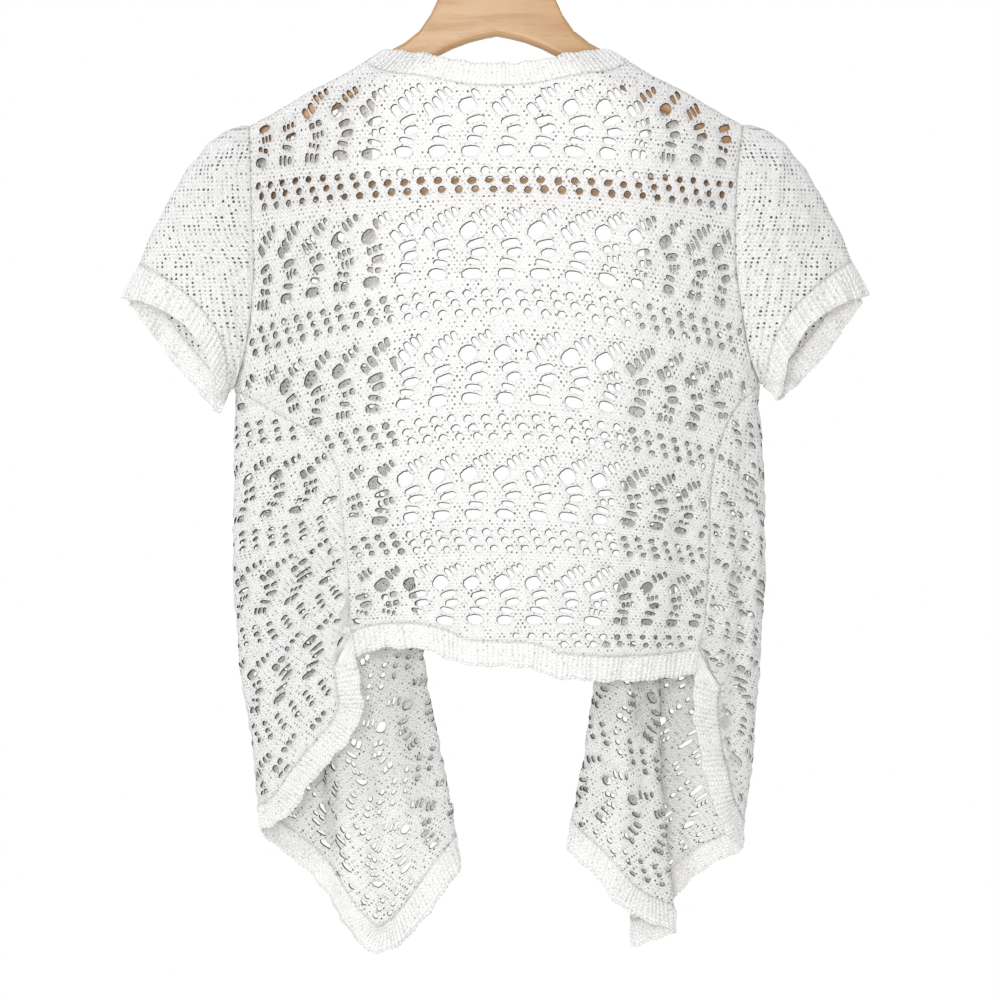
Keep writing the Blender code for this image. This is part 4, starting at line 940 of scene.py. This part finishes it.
def clear_loops(outline, chart, holes, open_):
    """The loops of the holes on the cloth, those that lie clear of the piece's edge. open_ is
    the holes' share of their full size."""
    loops = [loop for hole in holes for loop in hole]
    flat = np.array([p for loop in loops for p in loop])
    flat, start = np.stack(chart.to_cloth(flat[:, 0], flat[:, 1]), 1), 0
    for hole in holes:
        spots = flat[start : start + sum(len(loop) for loop in hole)]
        middle = spots.mean(0)
        spots[:] = middle + (spots - middle) * open_(*middle)
        start += len(spots)
    clear = inside(flat, outline)
    clear[clear] = outline_gap(flat[clear], outline) > EDGE_ROOM
    kept, start = [], 0
    for loop in loops:
        end = start + len(loop)
        if clear[start:end].all():
            kept.append(anticlockwise(flat[start:end]))
        start = end
    return kept


def cloth_places(outline, loops, turns):
    """Places on the cloth between the outline and the holes, for the corners of triangles."""
    low, high = outline.min(0), outline.max(0)
    xs, ys = (np.arange(low[k] + PITCH / 2, high[k], PITCH) for k in (0, 1))
    grid = np.array([(x + (PITCH / 2 if i % 2 else 0), y) for i, y in enumerate(ys) for x in xs])
    extra = np.array([p for below in TURN_ROWS for p in turns(below)])
    grid = np.concatenate([grid, extra])
    grid = grid[inside(grid, outline)]
    grid = grid[outline_gap(grid, outline) > OFF_EDGE]
    free = np.ones(len(grid), bool)
    for loop in loops:
        middle, reach = loop.mean(0), np.linalg.norm(loop - loop.mean(0), axis=1).max() + 1.6
        close = np.flatnonzero(np.abs(grid - middle).max(1) < reach)
        if len(close):
            spots = grid[close]
            bad = inside(spots, loop) | (outline_gap(spots, loop) < OFF_HOLE)
            free[close[bad]] = False
    return grid[free]


def lace_panel(name, outline, chart, columns, shift, drawn, open_, seen_inside, turns):
    """A panel of lace: its outline and the chart's holes, filled with triangles. seen_inside is
    1 where the cloth's inner side shows and turns gives places at a drop below the shoulder."""
    outline = tidy_outline(outline)
    loops = clear_loops(outline, chart, chart_holes(*columns, shift, drawn), open_)
    grid = cloth_places(outline, loops, turns)
    verts, face_list = [Vector(p) for p in outline], [list(range(len(outline)))]
    for loop in loops:
        face_list.append(list(range(len(verts), len(verts) + len(loop))))
        verts += [Vector(p) for p in loop]
    borders = len(verts)
    verts += [Vector(p) for p in grid]
    found, _, triangles, sources, _, _ = delaunay_2d_cdt(verts, [], face_list, 0, 1e-4, True)
    flat, triangles = np.array([(p[0], p[1]) for p in found]), np.array(triangles)
    centres = flat[triangles].mean(1)
    cloth = inside(centres, outline)
    for loop in loops:
        near = (centres > loop.min(0)).all(1) & (centres < loop.max(0)).all(1)
        near = np.flatnonzero(cloth & near)
        cloth[near[inside(centres[near], loop)]] = False
    middles = np.concatenate([np.tile(loop.mean(0), (len(loop), 1)) for loop in loops])
    edge, rear = np.zeros(len(flat)), flat.copy()
    rims = RIM * (1 - 2 * seen_inside(flat[:, 0], flat[:, 1]))
    for n, own in enumerate(sources):
        owner = next((k for k in own if len(outline) <= k < borders), None)
        if owner is not None:
            inward = middles[owner - len(outline)] - flat[n]
            edge[n] = 1.0
            rear[n] += inward / max(np.linalg.norm(inward), 1e-6) * rims[n] + LEAN
    across, down = chart.to_chart(flat[:, 0], flat[:, 1])
    uvs = np.stack([across, -down], 1)
    return cut_shell(name, flat, rear, triangles[cloth], uvs, edge, LACE, name)


# ---- materials ----


def tone(code):
    """A hex colour of the screen as linear light."""
    parts = [int(code[k : k + 2], 16) / 255 for k in (0, 2, 4)]
    return [c / 12.92 if c <= 0.04045 else ((c + 0.055) / 1.055) ** 2.4 for c in parts] + [1.0]


def add(tree, kind, links=None, **settings):
    """Adds a node; links gives its inputs, by name or number, a value or another node's output."""
    node = tree.nodes.new(kind)
    for name, value in settings.items():
        setattr(node, name, value)
    for name, value in (links or {}).items():
        if isinstance(value, bpy.types.NodeSocket):
            tree.links.new(value, node.inputs[name])
        else:
            node.inputs[name].default_value = value
    return node


def maths(tree, operation, a, b=0.0, c=0.0):
    return add(tree, "ShaderNodeMath", {0: a, 1: b, 2: c}, operation=operation).outputs[0]


def mixed(tree, share, a, b):
    return add(tree, "ShaderNodeMix", {0: share, 6: a, 7: b}, data_type="RGBA").outputs[2]


def ranged(tree, value, low, high, to_low=0.0, to_high=1.0):
    links = {0: value, 1: low, 2: high, 3: to_low, 4: to_high}
    node = add(tree, "ShaderNodeMapRange", links, interpolation_type="SMOOTHSTEP")
    return node.outputs[0]


def split(tree, vector):
    return list(add(tree, "ShaderNodeSeparateXYZ", {0: vector}).outputs)


def noise(tree, place, scale, detail, out=0, **more):
    links = {"Vector": place, "Scale": scale, "Detail": detail, **more}
    return add(tree, "ShaderNodeTexNoise", links).outputs[out]


def start_material(name):
    made = bpy.data.materials.new(name)
    made.use_nodes = True
    return made, made.node_tree, made.node_tree.nodes["Principled BSDF"]


def dress(tree, shader, colour, roughness, relief, strength, depth, even):
    """Gives the shader its colour, its roughness, a relief this deep in metres and its even
    values, by name."""
    links = {"Strength": strength, "Distance": depth, "Height": relief}
    bump = add(tree, "ShaderNodeBump", links).outputs[0]
    for name, source in (("Base Color", colour), ("Roughness", roughness), ("Normal", bump)):
        tree.links.new(source, shader.inputs[name])
    for name, value in even.items():
        shader.inputs[name].default_value = value


def knit(name, high, low, gap, dots, size=1.0, banded=0.0, stray=0.3, even=1.6, slant=0.0):
    """Knitted cotton yarn, from its own stitches: legs that lean together in a V, a groove
    between two columns and small gaps where the yarns leave one open. high is the yarn's own
    colour, low the painted shade down in the grooves (also used for faint random clouds) and gap
    the painted shade on the sides of the holes. dots is how dark the painted shade in the small
    gaps is, banded how much they fade between bands of rows, stray how far they lie off their
    places in mm, even how rare the darkest are and slant how far the columns lean."""
    made, tree, shader = start_material(name)
    calc, span, blend = (partial(kind, tree) for kind in (maths, ranged, mixed))
    times, plus = (partial(calc, word) for word in ("MULTIPLY", "MULTIPLY_ADD"))

    def off_middle(value):
        return calc("SUBTRACT", calc("FRACT", value), 0.5)

    place = add(tree, "ShaderNodeUVMap", uv_map="cloth").outputs[0]
    right, up, _ = split(tree, place)
    off_right, off_up, _ = split(tree, noise(tree, place, 15.0, 2.0, out="Color"))
    aside = calc("ABSOLUTE", off_middle(plus(off_right, 0.9, times(right, 100 / STITCH_WIDE))))
    lean = plus(aside, 1.3, plus(off_up, 1.2, times(up, 100 / STITCH_HIGH)))
    legs = plus(calc("SINE", times(lean, math.tau)), 0.5, 0.5)
    groove, centre = span(aside, 0.36, 0.5, 1.0, 0.25), span(aside, 0.0, 0.12, 0.55, 1.0)
    height = times(times(legs, groove), centre)
    # the small gaps, in rows that lie half a pitch aside of each other
    along = plus(off_right, stray * 2, times(right, 100 / GAP_WIDE))
    column = calc("FLOOR", along)
    fall = plus(column, 0.5, plus(off_up, stray, times(up, 100 / GAP_HIGH)))
    cell = add(tree, "ShaderNodeCombineXYZ", {0: column, 1: calc("FLOOR", fall)})
    luck = add(tree, "ShaderNodeTexWhiteNoise", {0: cell.outputs[0]}, noise_dimensions="2D")
    chance = luck.outputs[0]
    wide, tall = (plus(aim, stray * 2, -stray) for aim in split(tree, luck.outputs[1])[:2])
    wide = plus(off_middle(along), GAP_WIDE, wide)
    tall = plus(off_middle(fall), GAP_HIGH, tall)
    if slant:
        wide = plus(tall, times(calc("SIGN", right), slant), wide)
    gap_size = calc("SQRT", plus(wide, wide, times(tall, tall)))
    reach = plus(chance, 0.4 * size, 0.45 * size)
    shade_dot = span(calc("DIVIDE", gap_size, reach), 0.7, 1.3, 1.0, 0.0)
    rows = add(tree, "ShaderNodeTexNoise", {1: times(up, 5.2)}, noise_dimensions="1D")
    mass = plus(noise(tree, place, 4.0, 1.0), 0.7, times(rows.outputs[0], 0.6))
    # painted shade: more of the small gaps in the lace's lowest rows are dark
    mass = calc("ADD", mass, span(times(up, -1), 5.8, 6.6, 0.0, LOW_SHADED_GAPS))
    dark = span(mass, 0.54, 0.76, dots * (1 - banded), dots)
    shade_dot = times(shade_dot, times(calc("POWER", chance, even), dark))
    fuzz, cloudy = noise(tree, place, 260.0, 3.0, Roughness=0.6), noise(tree, place, 3.0, 3.0)
    # painted shade: the colour goes from low down in the grooves to high on the tops of the yarn
    colour = blend(span(height, 0.0, 0.7), tone(low), tone(high))
    colour = blend(span(cloudy, 0.35, 0.75, 0.0, 0.22), colour, tone(low))
    # painted shade: the sides of the holes take the dark gap colour
    wall = add(tree, "ShaderNodeAttribute", attribute_name="hole_wall").outputs["Fac"]
    colour = blend(wall, colour, tone(gap))
    # painted shade: the small gaps are darkened to a dark grey
    colour = blend(shade_dot, colour, tone("3C3A39"))
    relief, roughness = plus(shade_dot, -0.6, plus(fuzz, 0.22, height)), span(fuzz, 0.3, 0.7, 0.78, 0.96)
    # Light goes some way through white cotton, so the far side of the lace isn't dark, and its
    # short fibres catch the light at grazing angles.
    values = {
        "Subsurface Weight": 0.7, "Subsurface Radius": (1.0, 0.97, 0.93),
        "Subsurface Scale": 0.005, "Sheen Weight": 0.18, "Sheen Roughness": 0.45,
    }
    dress(tree, shader, colour, roughness, relief, 0.85, 0.0007, values)
    return made


def wood(name):
    """Lacquered beech: straight grain along the arms, fine dark flecks and a thin gloss coat."""
    made, tree, shader = start_material(name)
    place = add(tree, "ShaderNodeTexCoord").outputs["Object"]
    grain, fine = (
        add(tree, "ShaderNodeMapping", {"Vector": place, "Scale": scale}).outputs[0]
        for scale in ((6.0, 60.0, 60.0), (60.0, 900.0, 900.0))
    )
    bands = noise(tree, grain, 1.6, 5.0, Distortion=0.7)
    flecks = noise(tree, fine, 1.0, 2.0)
    colour = mixed(tree, ranged(tree, bands, 0.35, 0.68), tone("B59067"), tone("A47C51"))
    colour = mixed(tree, ranged(tree, flecks, 0.6, 0.78, 0.0, 0.5), colour, tone("86633E"))
    roughness = ranged(tree, bands, 0.3, 0.7, 0.34, 0.46)
    coat = {"Coat Weight": 0.35, "Coat Roughness": 0.18}
    dress(tree, shader, colour, roughness, flecks, 0.25, 0.0002, coat)
    return made


def steel(name):
    """Bright nickel-plated wire with the faint rub marks of rails along it."""
    made, tree, shader = start_material(name)
    place = add(tree, "ShaderNodeTexCoord").outputs["Object"]
    rubs, smears = noise(tree, place, 420.0, 4.0), noise(tree, place, 60.0, 2.0)
    colour = mixed(tree, smears, tone("C9CACC"), tone("B4B6B9"))
    roughness = ranged(tree, rubs, 0.35, 0.7, 0.14, 0.34)
    dress(tree, shader, colour, roughness, rubs, 0.12, 0.00005, {"Metallic": 1.0})
    return made


# the knits' colours: the yarn's own, painted shade in the grooves, painted shade on the sides of
# the holes, then how dark the painted shade in the small gaps is
LACE = knit(
    "white cotton yarn, hand-knitted lace", "FBFAF8", "D4D3D1", "1E1D1C", 1.0, 1.12, 0.4, 0.3, 1.25
)
PLAIN = knit(
    "white cotton yarn, plain knit", "FBFAF8", "DAD9D7", "A4A3A1", 1.3, 1.25, 0.6, 0.14, 1.0, 0.6
)
RIB = knit("white cotton yarn, ribbed knit", "FBFAF8", "D6D5D3", "A4A3A1", 0.4)

# ---- the lace panels ----


def neck_lines():
    """The neckband's top edge and the line where it is sewn to the back, as (x, drop)."""
    top = curve_through(NECK, 120)
    found = [p for p in offset_line(top, NECKBAND) if abs(p[0]) < 80]
    end = NECK[-1][0] + NECKBAND * NECK_TURN
    out, drop = NECK_CORNER
    left, right = ([(way * end, float(shoulder_drop(end))), (way * out, drop)] for way in (-1, 1))
    return top, curve_through(left + found[:: len(found) // 10] + right[::-1], 120)


def back_panel():
    _, sewn = neck_lines()
    neck = sewn[-1][0] + SEAM
    under_neck = on_back([(x, drop + SEAM) for x, drop in sewn[1:-1]])
    foot = {side: SIDE_SEAM[side][-1][1] - HEM_BAND - SEAM for side in (-1, 1)}

    def both(line_of):
        return {side: set_on(side, line_of(side)) for side in (-1, 1)}

    spans = {side: np.linspace(ARMHOLE_BACK[side][0][0], neck, 50) for side in (-1, 1)}
    shoulders = both(lambda side: shoulder_line(side, NEAR, spans[side]))
    seams = both(lambda side: seam_line(side, foot[side], -SEAM / 2))
    arms = both(lambda side: armhole_line(side, False))
    hem = on_back(offset_line(curve_through(BACK_HEM, 90), -(HEM_BAND + SEAM)))
    hem = [p for p in hem if seams[-1][-1][0] + 2 < p[0] < seams[1][-1][0] - 2]
    outline = shoulders[-1] + spaced(under_neck, 2.5) + shoulders[1][::-1]
    outline += arms[1][1:] + spaced(seams[1], 3.0)[1:] + spaced(hem, 3.0)[::-1]
    outline += spaced(seams[-1], 3.0)[::-1] + arms[-1][::-1][1:]

    def turns(below):
        lines = both(lambda side: shoulder_line(side, NEAR, np.arange(104, 199, 2.6), below))
        return lines[-1] + lines[1]

    def spread(s, drop):
        """The lace is drawn together towards the armholes and side seams."""
        return lerp(*BACK_OPEN, smooth_step(84, 124, abs(s)))

    def seen_inside(s, drop):
        return np.zeros_like(s)

    chart = back_chart()
    return lace_panel(
        "back_panel", outline, chart, (-9, 9), 4.0, DRAWN, spread, seen_inside, turns
    )


def front_panel(side):
    half, name = HALF[side], f"front_{WORD[side]}"
    cloth = hem_curves(side)[2]
    sewn_top = meet_shoulder(side, NECKBAND + SEAM)
    arm_out = ARMHOLE_FRONT[side][0][0]
    outs, lengths = half.level(sewn_top)
    end_out = float(np.interp(lengths[-1] - NECKBAND - SEAM, lengths, outs))
    shoulder = shoulder_line(side, FRONT, np.linspace(arm_out, end_out, 50))
    last = cut_index(cloth, NECKBAND + SEAM)
    hem = cloth[: int(last) + 1] + [at_index(cloth, last)]
    hem = [(half.total(drop) - edge, drop) for edge, drop in hem]
    foot = SIDE_SEAM[side][-1][1] - HEM_BAND - SEAM
    seam = spaced(seam_line(side, foot, SEAM / 2), 3.0)
    down = [(half.total(d) - NECKBAND - SEAM, d) for d in np.linspace(sewn_top, hem[-1][1], 230)]
    outline = shoulder + down[1:] + spaced(hem, 3.0)[::-1][1:] + seam[::-1][1:]
    outline += armhole_line(side, True)[::-1][1:]

    def turns(below):
        outs = np.arange(end_out, arm_out, 2.6)
        return set_on(side, shoulder_line(side, FRONT, outs, below))

    def seen_inside(s, drop):
        return smooth_step(10, 50, np.abs(s) - half.folds(SIDE, drop))

    def spread(s, drop):
        """The lace hangs more closed where it falls in pleats."""
        return lerp(*FRONT_OPEN, seen_inside(s, drop))

    outline, chart = set_on(side, outline), front_chart(side)
    return lace_panel(name, outline, chart, (-1, 20), 12.0, 0.0, spread, seen_inside, turns)


# ---- the bands ----


def ribbed(name, place, length, width, free=1, ruffle=0.0, round_=False):
    """A ribbed band. place gives the points and facings for arrays of shares along and across,
    free is the share across of its free edge, and ruffle how far that edge waves."""
    rows = BAND_ROWS
    ribs = max(8, round(length / RIB_PITCH))
    count = ribs * RIB_STEPS + (0 if round_ else 1)
    along = np.arange(count) / (ribs * RIB_STEPS)
    across = np.linspace(0, 1, rows)
    grid_along, grid_across = np.meshgrid(along, across)
    outward = grid_across if free else 1 - grid_across
    uneven = 0.018 * np.cos(math.tau * grid_along * ribs) + 0.03 * np.sin(grid_along * length / 5.3)
    uneven = uneven + 0.03 * np.sin(grid_along * length / 3.1 + 2)
    stray = uneven * outward**2 * (1 if free else -1)
    points, faces = place(grid_along.ravel(), (grid_across + stray).ravel())
    points, faces = points.reshape(rows, count, 3), faces.reshape(rows, count, 3)
    wander = 0.16 * np.sin(grid_along * 57 + grid_across * 2.1) + 0.12 * np.sin(grid_along * 131)
    swell = 1 + 0.25 * np.sin(grid_along * 83 + 1.3)
    lift = RIB_HEIGHT * swell * np.cos(math.tau * (grid_along * ribs + wander))
    soften = np.minimum(1, 0.4 + 4 * np.minimum(grid_across, 1 - grid_across))
    waves = np.sin(grid_along * math.tau * 9 + 0.6) + 0.7 * np.sin(grid_along * math.tau * 15 + 2)
    points = points + faces * (ruffle * waves * outward**1.5)[..., None]
    u = np.append(along, 1.0) if round_ else along
    uvs = np.stack(np.meshgrid(u * ribs * STITCH_WIDE, -across * width), -1)
    lift = lift * soften
    return grid_shell(name, points, faces, uvs, lift, BAND_PLY, RIB, name, "rib_knit", round_)


def neckband():
    top, foot = neck_lines()

    def place(along, across):
        flat = between((top, foot), along, across)
        return on_cloth([back_s(x, drop) for x, drop in flat], flat[:, 1])

    return ribbed("neckband", place, path_length(np.array(foot))[-1], NECKBAND, free=0)


def front_band(side):
    half = HALF[side]
    outer = hem_curves(side)[0]
    feet = sorted(p for p in outer if p[0] <= NECKBAND + 8)
    edges = np.linspace(0, NECKBAND, BAND_ROWS)
    tops = np.array([meet_shoulder(side, edge) for edge in edges])
    feet = np.array([float(straight_line(feet, edge)) for edge in edges])
    length = float(feet.mean() - tops.mean())

    def place(along, across):
        edge = across * NECKBAND
        top, foot = np.interp(edge, edges, tops), np.interp(edge, edges, feet)
        drop = lerp(top, foot, along)
        return on_cloth(side * (half.totals(drop) - edge), drop)

    return ribbed(f"front_band_{WORD[side]}", place, length, NECKBAND, free=0)


def hem_band_back():
    hem = curve_through(BACK_HEM, 120)
    outer, inner = on_back(hem), on_back(offset_line(hem, -HEM_BAND))
    feet = {side: SIDE_SEAM[side][-1][1] - HEM_BAND for side in (-1, 1)}
    ends = {side: side * seam_line(side, feet[side], -SEAM / 2)[-1][0] for side in (-1, 1)}
    inner = [p for p in inner if ends[-1] + 3 < p[0] < ends[1] - 3]
    inner = [(ends[-1], feet[-1])] + inner + [(ends[1], feet[1])]
    outer[0], outer[-1] = (outer[0][0] + SEAM, outer[0][1]), (outer[-1][0] - SEAM, outer[-1][1])
    lines = [np.array(curve_through(inner, 160)), np.array(curve_through(outer, 160))]

    def place(along, across):
        flat = between(lines, along, across)
        return on_cloth(flat[:, 0], flat[:, 1])

    return ribbed("hem_band_back", place, path_length(lines[0])[-1], HEM_BAND, ruffle=0.5)


def hem_band_front(side):
    half = HALF[side]
    outer, inner, _ = hem_curves(side)
    ends = [cut_index(line, NECKBAND + SEAM) for line in (inner, outer)]
    outer_ends = np.linspace(0, ends[1], 240)
    trace = np.array([at_index(outer, at) for at in outer_ends])
    long = path_length(trace)
    even = np.interp(np.linspace(0, long[-1], 240), long, outer_ends) / ends[1]
    lines = [
        [at_index(line, share * end) for share in even] for line, end in zip((inner, outer), ends)
    ]

    def place(along, across):
        flat = between(lines, along, across)
        return on_cloth(side * (half.totals(flat[:, 1]) - flat[:, 0]), flat[:, 1])

    return ribbed(f"hem_band_{WORD[side]}", place, long[-1], HEM_BAND, ruffle=0.8)


# ---- the sleeves ----


class Sleeve:
    """A cap sleeve between the armhole and its mouth. turn goes from 0 at the shoulder down the
    back to pi at the underarm and up the front to two pi."""

    COUNT, ROWS = 180, 61

    def __init__(self, side):
        half, mouth = HALF[side], MOUTH[side]
        self.turns = np.linspace(0, math.tau, self.COUNT, endpoint=False)
        s, drops = [], []
        for turn in self.turns:
            behind = turn <= math.pi
            line = ARMHOLE_BACK[side] if behind else ARMHOLE_FRONT[side]
            drop = lerp(line[0][1], line[-1][1], (1 - math.cos(turn)) / 2)
            stretch, drops = NEAR if behind else DEEP, drops + [drop]
            if abs(turn - math.pi) < 1e-6:
                s.append(half.fold(SIDE, drop))
            else:
                s.append(half.length_at(stretch, out_at(line, drop), drop))
        s, drops = np.array(s), np.array(drops)
        self.start, self.facing = half.points(s, drops), half.faces(s, drops)
        swing, level = np.sin(self.turns), np.cos(self.turns)
        middle = lerp(mouth.top, mouth.foot, 0.5)
        reach = tuple((mouth.top[k] - mouth.foot[k]) / 2 for k in (0, 1))
        size = math.hypot(*reach)
        inward = (reach[1] / size, -reach[0] / size)
        stand_in = np.where(swing > 0, mouth.back_in, mouth.front_in) * swing**2
        out, drop = (middle[k] + reach[k] * level + inward[k] * stand_in for k in (0, 1))
        self.end = np.stack([side * out, mouth.forward - mouth.half_depth * swing, -drop], 1)
        length = np.linalg.norm(self.end - self.start, axis=1)[:, None]
        swing, level = swing[:, None], level[:, None]
        top, foot = np.maximum(0, level) ** 2, np.maximum(0, -level) ** 3
        underarm = np.maximum(0, -level) ** 8
        ones = np.ones_like(swing)
        leave = unit(np.concatenate([side * ones, -0.45 * swing, 0.05 - 0.3 * foot], 1))
        across, up = side * lerp(-0.62 * ones, -0.34, top), lerp(0.78 * ones, 0.94, top)
        arrive = unit(np.concatenate([across, 0.1 * swing, up], 1))
        self.handles = (
            self.start + leave * length * lerp(0.33 * ones, 0.2, top),
            self.end + arrive * length * lerp(0.33 * ones, 0.56, top),
        )
        round_armhole = np.roll(self.start, -1, 0) - np.roll(self.start, 1, 0)
        clear = unit(np.cross(self.facing, round_armhole)) * side * lerp(0.35, 1.6, underarm)
        self.clear = clear + self.facing * 1.6 * underarm
        self.sheet = np.stack([self.curve(along) for along in np.linspace(0, 1, self.ROWS)])
        steps = np.linalg.norm(np.diff(self.sheet, axis=0), axis=2)
        self.lengths = steps.sum(0)
        down = np.gradient(self.sheet, axis=0)
        around = np.roll(self.sheet, -1, 1) - np.roll(self.sheet, 1, 1)
        self.ways = unit(np.cross(down, around) * -side)
        self.ways[0] = unit(lerp(self.facing, self.ways[0], underarm / 2))

    def curve(self, along):
        u = 1 - along
        a, b = self.handles
        points = u**3 * self.start + 3 * u * u * along * a + 3 * u * along**2 * b
        points = points + along**3 * self.end
        return points + self.clear * max(0.0, 1 - 3 * along)

    def at(self, turn, along):
        """Points and facings at arrays of turns and shares of the length, creases and all."""
        column = (turn / math.tau * self.COUNT) % self.COUNT
        row = np.clip(along, 0, 1) * (self.ROWS - 1)
        i = np.minimum(row.astype(int), self.ROWS - 2)
        j = column.astype(int) % self.COUNT
        k = (j + 1) % self.COUNT
        down, right = (row - i)[:, None], (column - column.astype(int))[:, None]
        found = []
        for table in (self.sheet, self.ways):
            upper = lerp(table[i, j], table[i, k], right)
            found.append(lerp(upper, lerp(table[i + 1, j], table[i + 1, k], right), down))
        points, ways = found[0], unit(found[1])
        lift = 0.35 * np.sin(turn * 5 + along * 7) + 0.3 * np.sin(turn * 9 - along * 5 + 1)
        lift += 0.45 * np.sin(along * 41 + 1.5 * np.sin(turn * 3)) + 0.3 * np.sin(along * 27 - turn)
        for (turn_a, along_a), (turn_b, along_b), width, height in SLEEVE_CREASES:
            run_turn, run_along = turn_b - turn_a, (along_b - along_a) * 1.6
            size = run_turn**2 + run_along**2
            share = ((turn - turn_a) * run_turn + (along - along_a) * 1.6 * run_along) / size
            gap = np.hypot(
                turn - turn_a - np.clip(share, 0, 1) * run_turn,
                (along - along_a) * 1.6 - np.clip(share, 0, 1) * run_along,
            )
            lift = lift + crease_height(gap, width, height, np.clip(share, 0.02, 0.98))
        fade = smooth_step(0.0, 0.12, along)
        return points + ways * (lift * fade)[:, None], ways


def level_rows(points, side):
    """The cloth's own places on a grid round a sleeve that starts and ends at the underarm: the
    rows of stitches lie level and the columns run beside the sleeve's top edge."""
    top = points[:, points.shape[1] // 2]
    line = [(-p[2], side * p[0], p[1]) for p in top]
    slope = (line[-1][1] - line[0][1]) / (line[-1][0] - line[0][0])
    line.append((line[-1][0] + 160, line[-1][1] + 160 * slope, line[-1][2]))
    drop, out, forward = -points[..., 2], side * points[..., 0], points[..., 1]
    knots = [p[0] for p in line]
    top_out, top_forward = (np.interp(drop, knots, [p[k] for p in line]) for k in (1, 2))
    away = np.hypot(np.maximum(top_out - out, 0), forward - top_forward)
    fan = 0.25 * np.clip(away / 80, 0, 1) * (drop - drop.mean())
    way = np.where(np.arange(points.shape[1]) < points.shape[1] // 2, -1, 1)
    return np.stack([way * (away - fan), -drop], -1)


def sleeve_and_cuff(side):
    word, sleeve = WORD[side], Sleeve(side)
    turns = np.append(sleeve.turns, math.tau)
    lengths = np.append(sleeve.lengths, sleeve.lengths[0])

    def sewn(turn):
        return np.maximum(0.04, 1 - CUFF / np.interp(turn, turns, lengths))

    columns, rows = SLEEVE_GRID
    turns_from_underarm = np.arange(columns) / columns * math.tau + math.pi
    turn, down = np.meshgrid(turns_from_underarm, np.linspace(0, 1, rows))
    turn %= math.tau
    last = sewn(turn) - SEAM / np.interp(turn, turns, lengths)
    points, ways = sleeve.at(turn.ravel(), (down * last).ravel())
    points, ways = points.reshape(rows, columns, 3), ways.reshape(rows, columns, 3)
    uvs = level_rows(np.concatenate([points, points[:, :1]], 1), side)
    name, lift = f"sleeve_{word}", np.zeros((rows, columns))
    look = PLAIN, name, "plain_knit"
    made = grid_shell(name, points, ways, uvs, lift, SLEEVE_PLY, *look, round_=True)

    def place(along, across):
        start = sewn(along * math.tau)
        return sleeve.at(along * math.tau, lerp(start, np.ones_like(start), across))

    edge = float(path_length(np.append(sleeve.end, sleeve.end[:1], 0))[-1])
    cuff = ribbed(f"cuff_{word}", place, edge, CUFF, ruffle=2.3, round_=True)
    return made, cuff


# ---- building all of it ----

BEECH, STEEL = wood("beech wood, turned and lacquered"), steel("steel wire, nickel plated")
for node, material in (("hanger_body", BEECH), ("hanger_bar", BEECH), ("hanger_hook", STEEL)):
    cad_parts[node].data.materials[0] = material

# Each piece with its flat cut in metres: width and length, its area where it isn't a rectangle,
# and what it hangs from. The sleeves and cuffs are measured all round.
back = back_panel()
SHEETS = [
    (back, (0.456, 0.476), 0.162, ["hanger_body"]),
    (neckband(), (0.218, 0.018), None, ["hanger_body"]),
    (hem_band_back(), (0.289, 0.02), None, [back]),
]
for side, cut, area, down, across, mouth in (
    (-1, (0.303, 0.695), 0.118, 0.633, 0.478, 0.288),
    (1, (0.303, 0.688), 0.108, 0.624, 0.477, 0.268),
):
    front = front_panel(side)
    SHEETS += [
        (front, cut, area, ["hanger_body"]),
        (front_band(side), (down, 0.018), None, ["hanger_body", front]),
        (hem_band_front(side), (across, 0.02), None, [front]),
    ]
    sleeve, cuff = sleeve_and_cuff(side)
    SHEETS += [
        (sleeve, (0.457, 0.161), 0.0282, [back, front]),
        (cuff, (mouth, 0.02), None, [sleeve]),
    ]

# ---- the studio ----


def studio():
    mesh = bpy.data.meshes.new("floor")
    size, low = 4.0, -2.4
    corners = ((-size, -size), (size, -size), (size, size), (-size, size))
    mesh.from_pydata([(x, y, low) for x, y in corners], [], [(0, 1, 2, 3)])
    made, tree, shader = start_material("pale painted floor, matt")
    place = add(tree, "ShaderNodeTexCoord").outputs["Object"]
    worn = mixed(tree, noise(tree, place, 2.0, 3.0), tone("F4F3F1"), tone("EAE9E6"))
    tree.links.new(worn, shader.inputs["Base Color"])
    shader.inputs["Roughness"].default_value = 0.85
    mesh.materials.append(made)
    floor = stand("floor", mesh)
    world = bpy.data.worlds.new("white room")
    bpy.context.scene.world = world
    world.use_nodes = True
    sky = world.node_tree.nodes["Background"]
    sky.inputs[0].default_value = (1, 1, 1, 1)
    seen = add(world.node_tree, "ShaderNodeLightPath").outputs["Is Camera Ray"]
    strength = ranged(world.node_tree, seen, 0.0, 1.0, 0.74, 1.0)
    world.node_tree.links.new(strength, sky.inputs[1])
    lights = (
        ("key", (-1.5, -1.9, 0.7), 0.8, 18.0),
        ("beside the camera", (-0.25, -2.9, -0.3), 0.5, 38.0),
        ("rear", (0.6, 2.2, 0.3), 1.4, 22.0),
    )
    aim = Vector((0, 0.03, -0.5))
    for name, at, size, power in lights:
        lamp = bpy.data.lights.new(name, "AREA")
        lamp.size, lamp.energy = size, power
        thing = stand(name, lamp)
        thing.location = at
        thing.rotation_euler = (aim - Vector(at)).to_track_quat("-Z", "Y").to_euler()
    camera = bpy.data.cameras.new("camera")
    camera.lens, camera.sensor_width, camera.clip_end = 123.75, 36.0, 30.0
    eye = stand("camera", camera)
    eye.location = (0.0024, -2.75, -0.4936)
    eye.rotation_euler = (math.pi / 2, 0, 0)
    bpy.context.scene.camera = eye
    bpy.context.scene.view_settings.view_transform = "Standard"


studio()
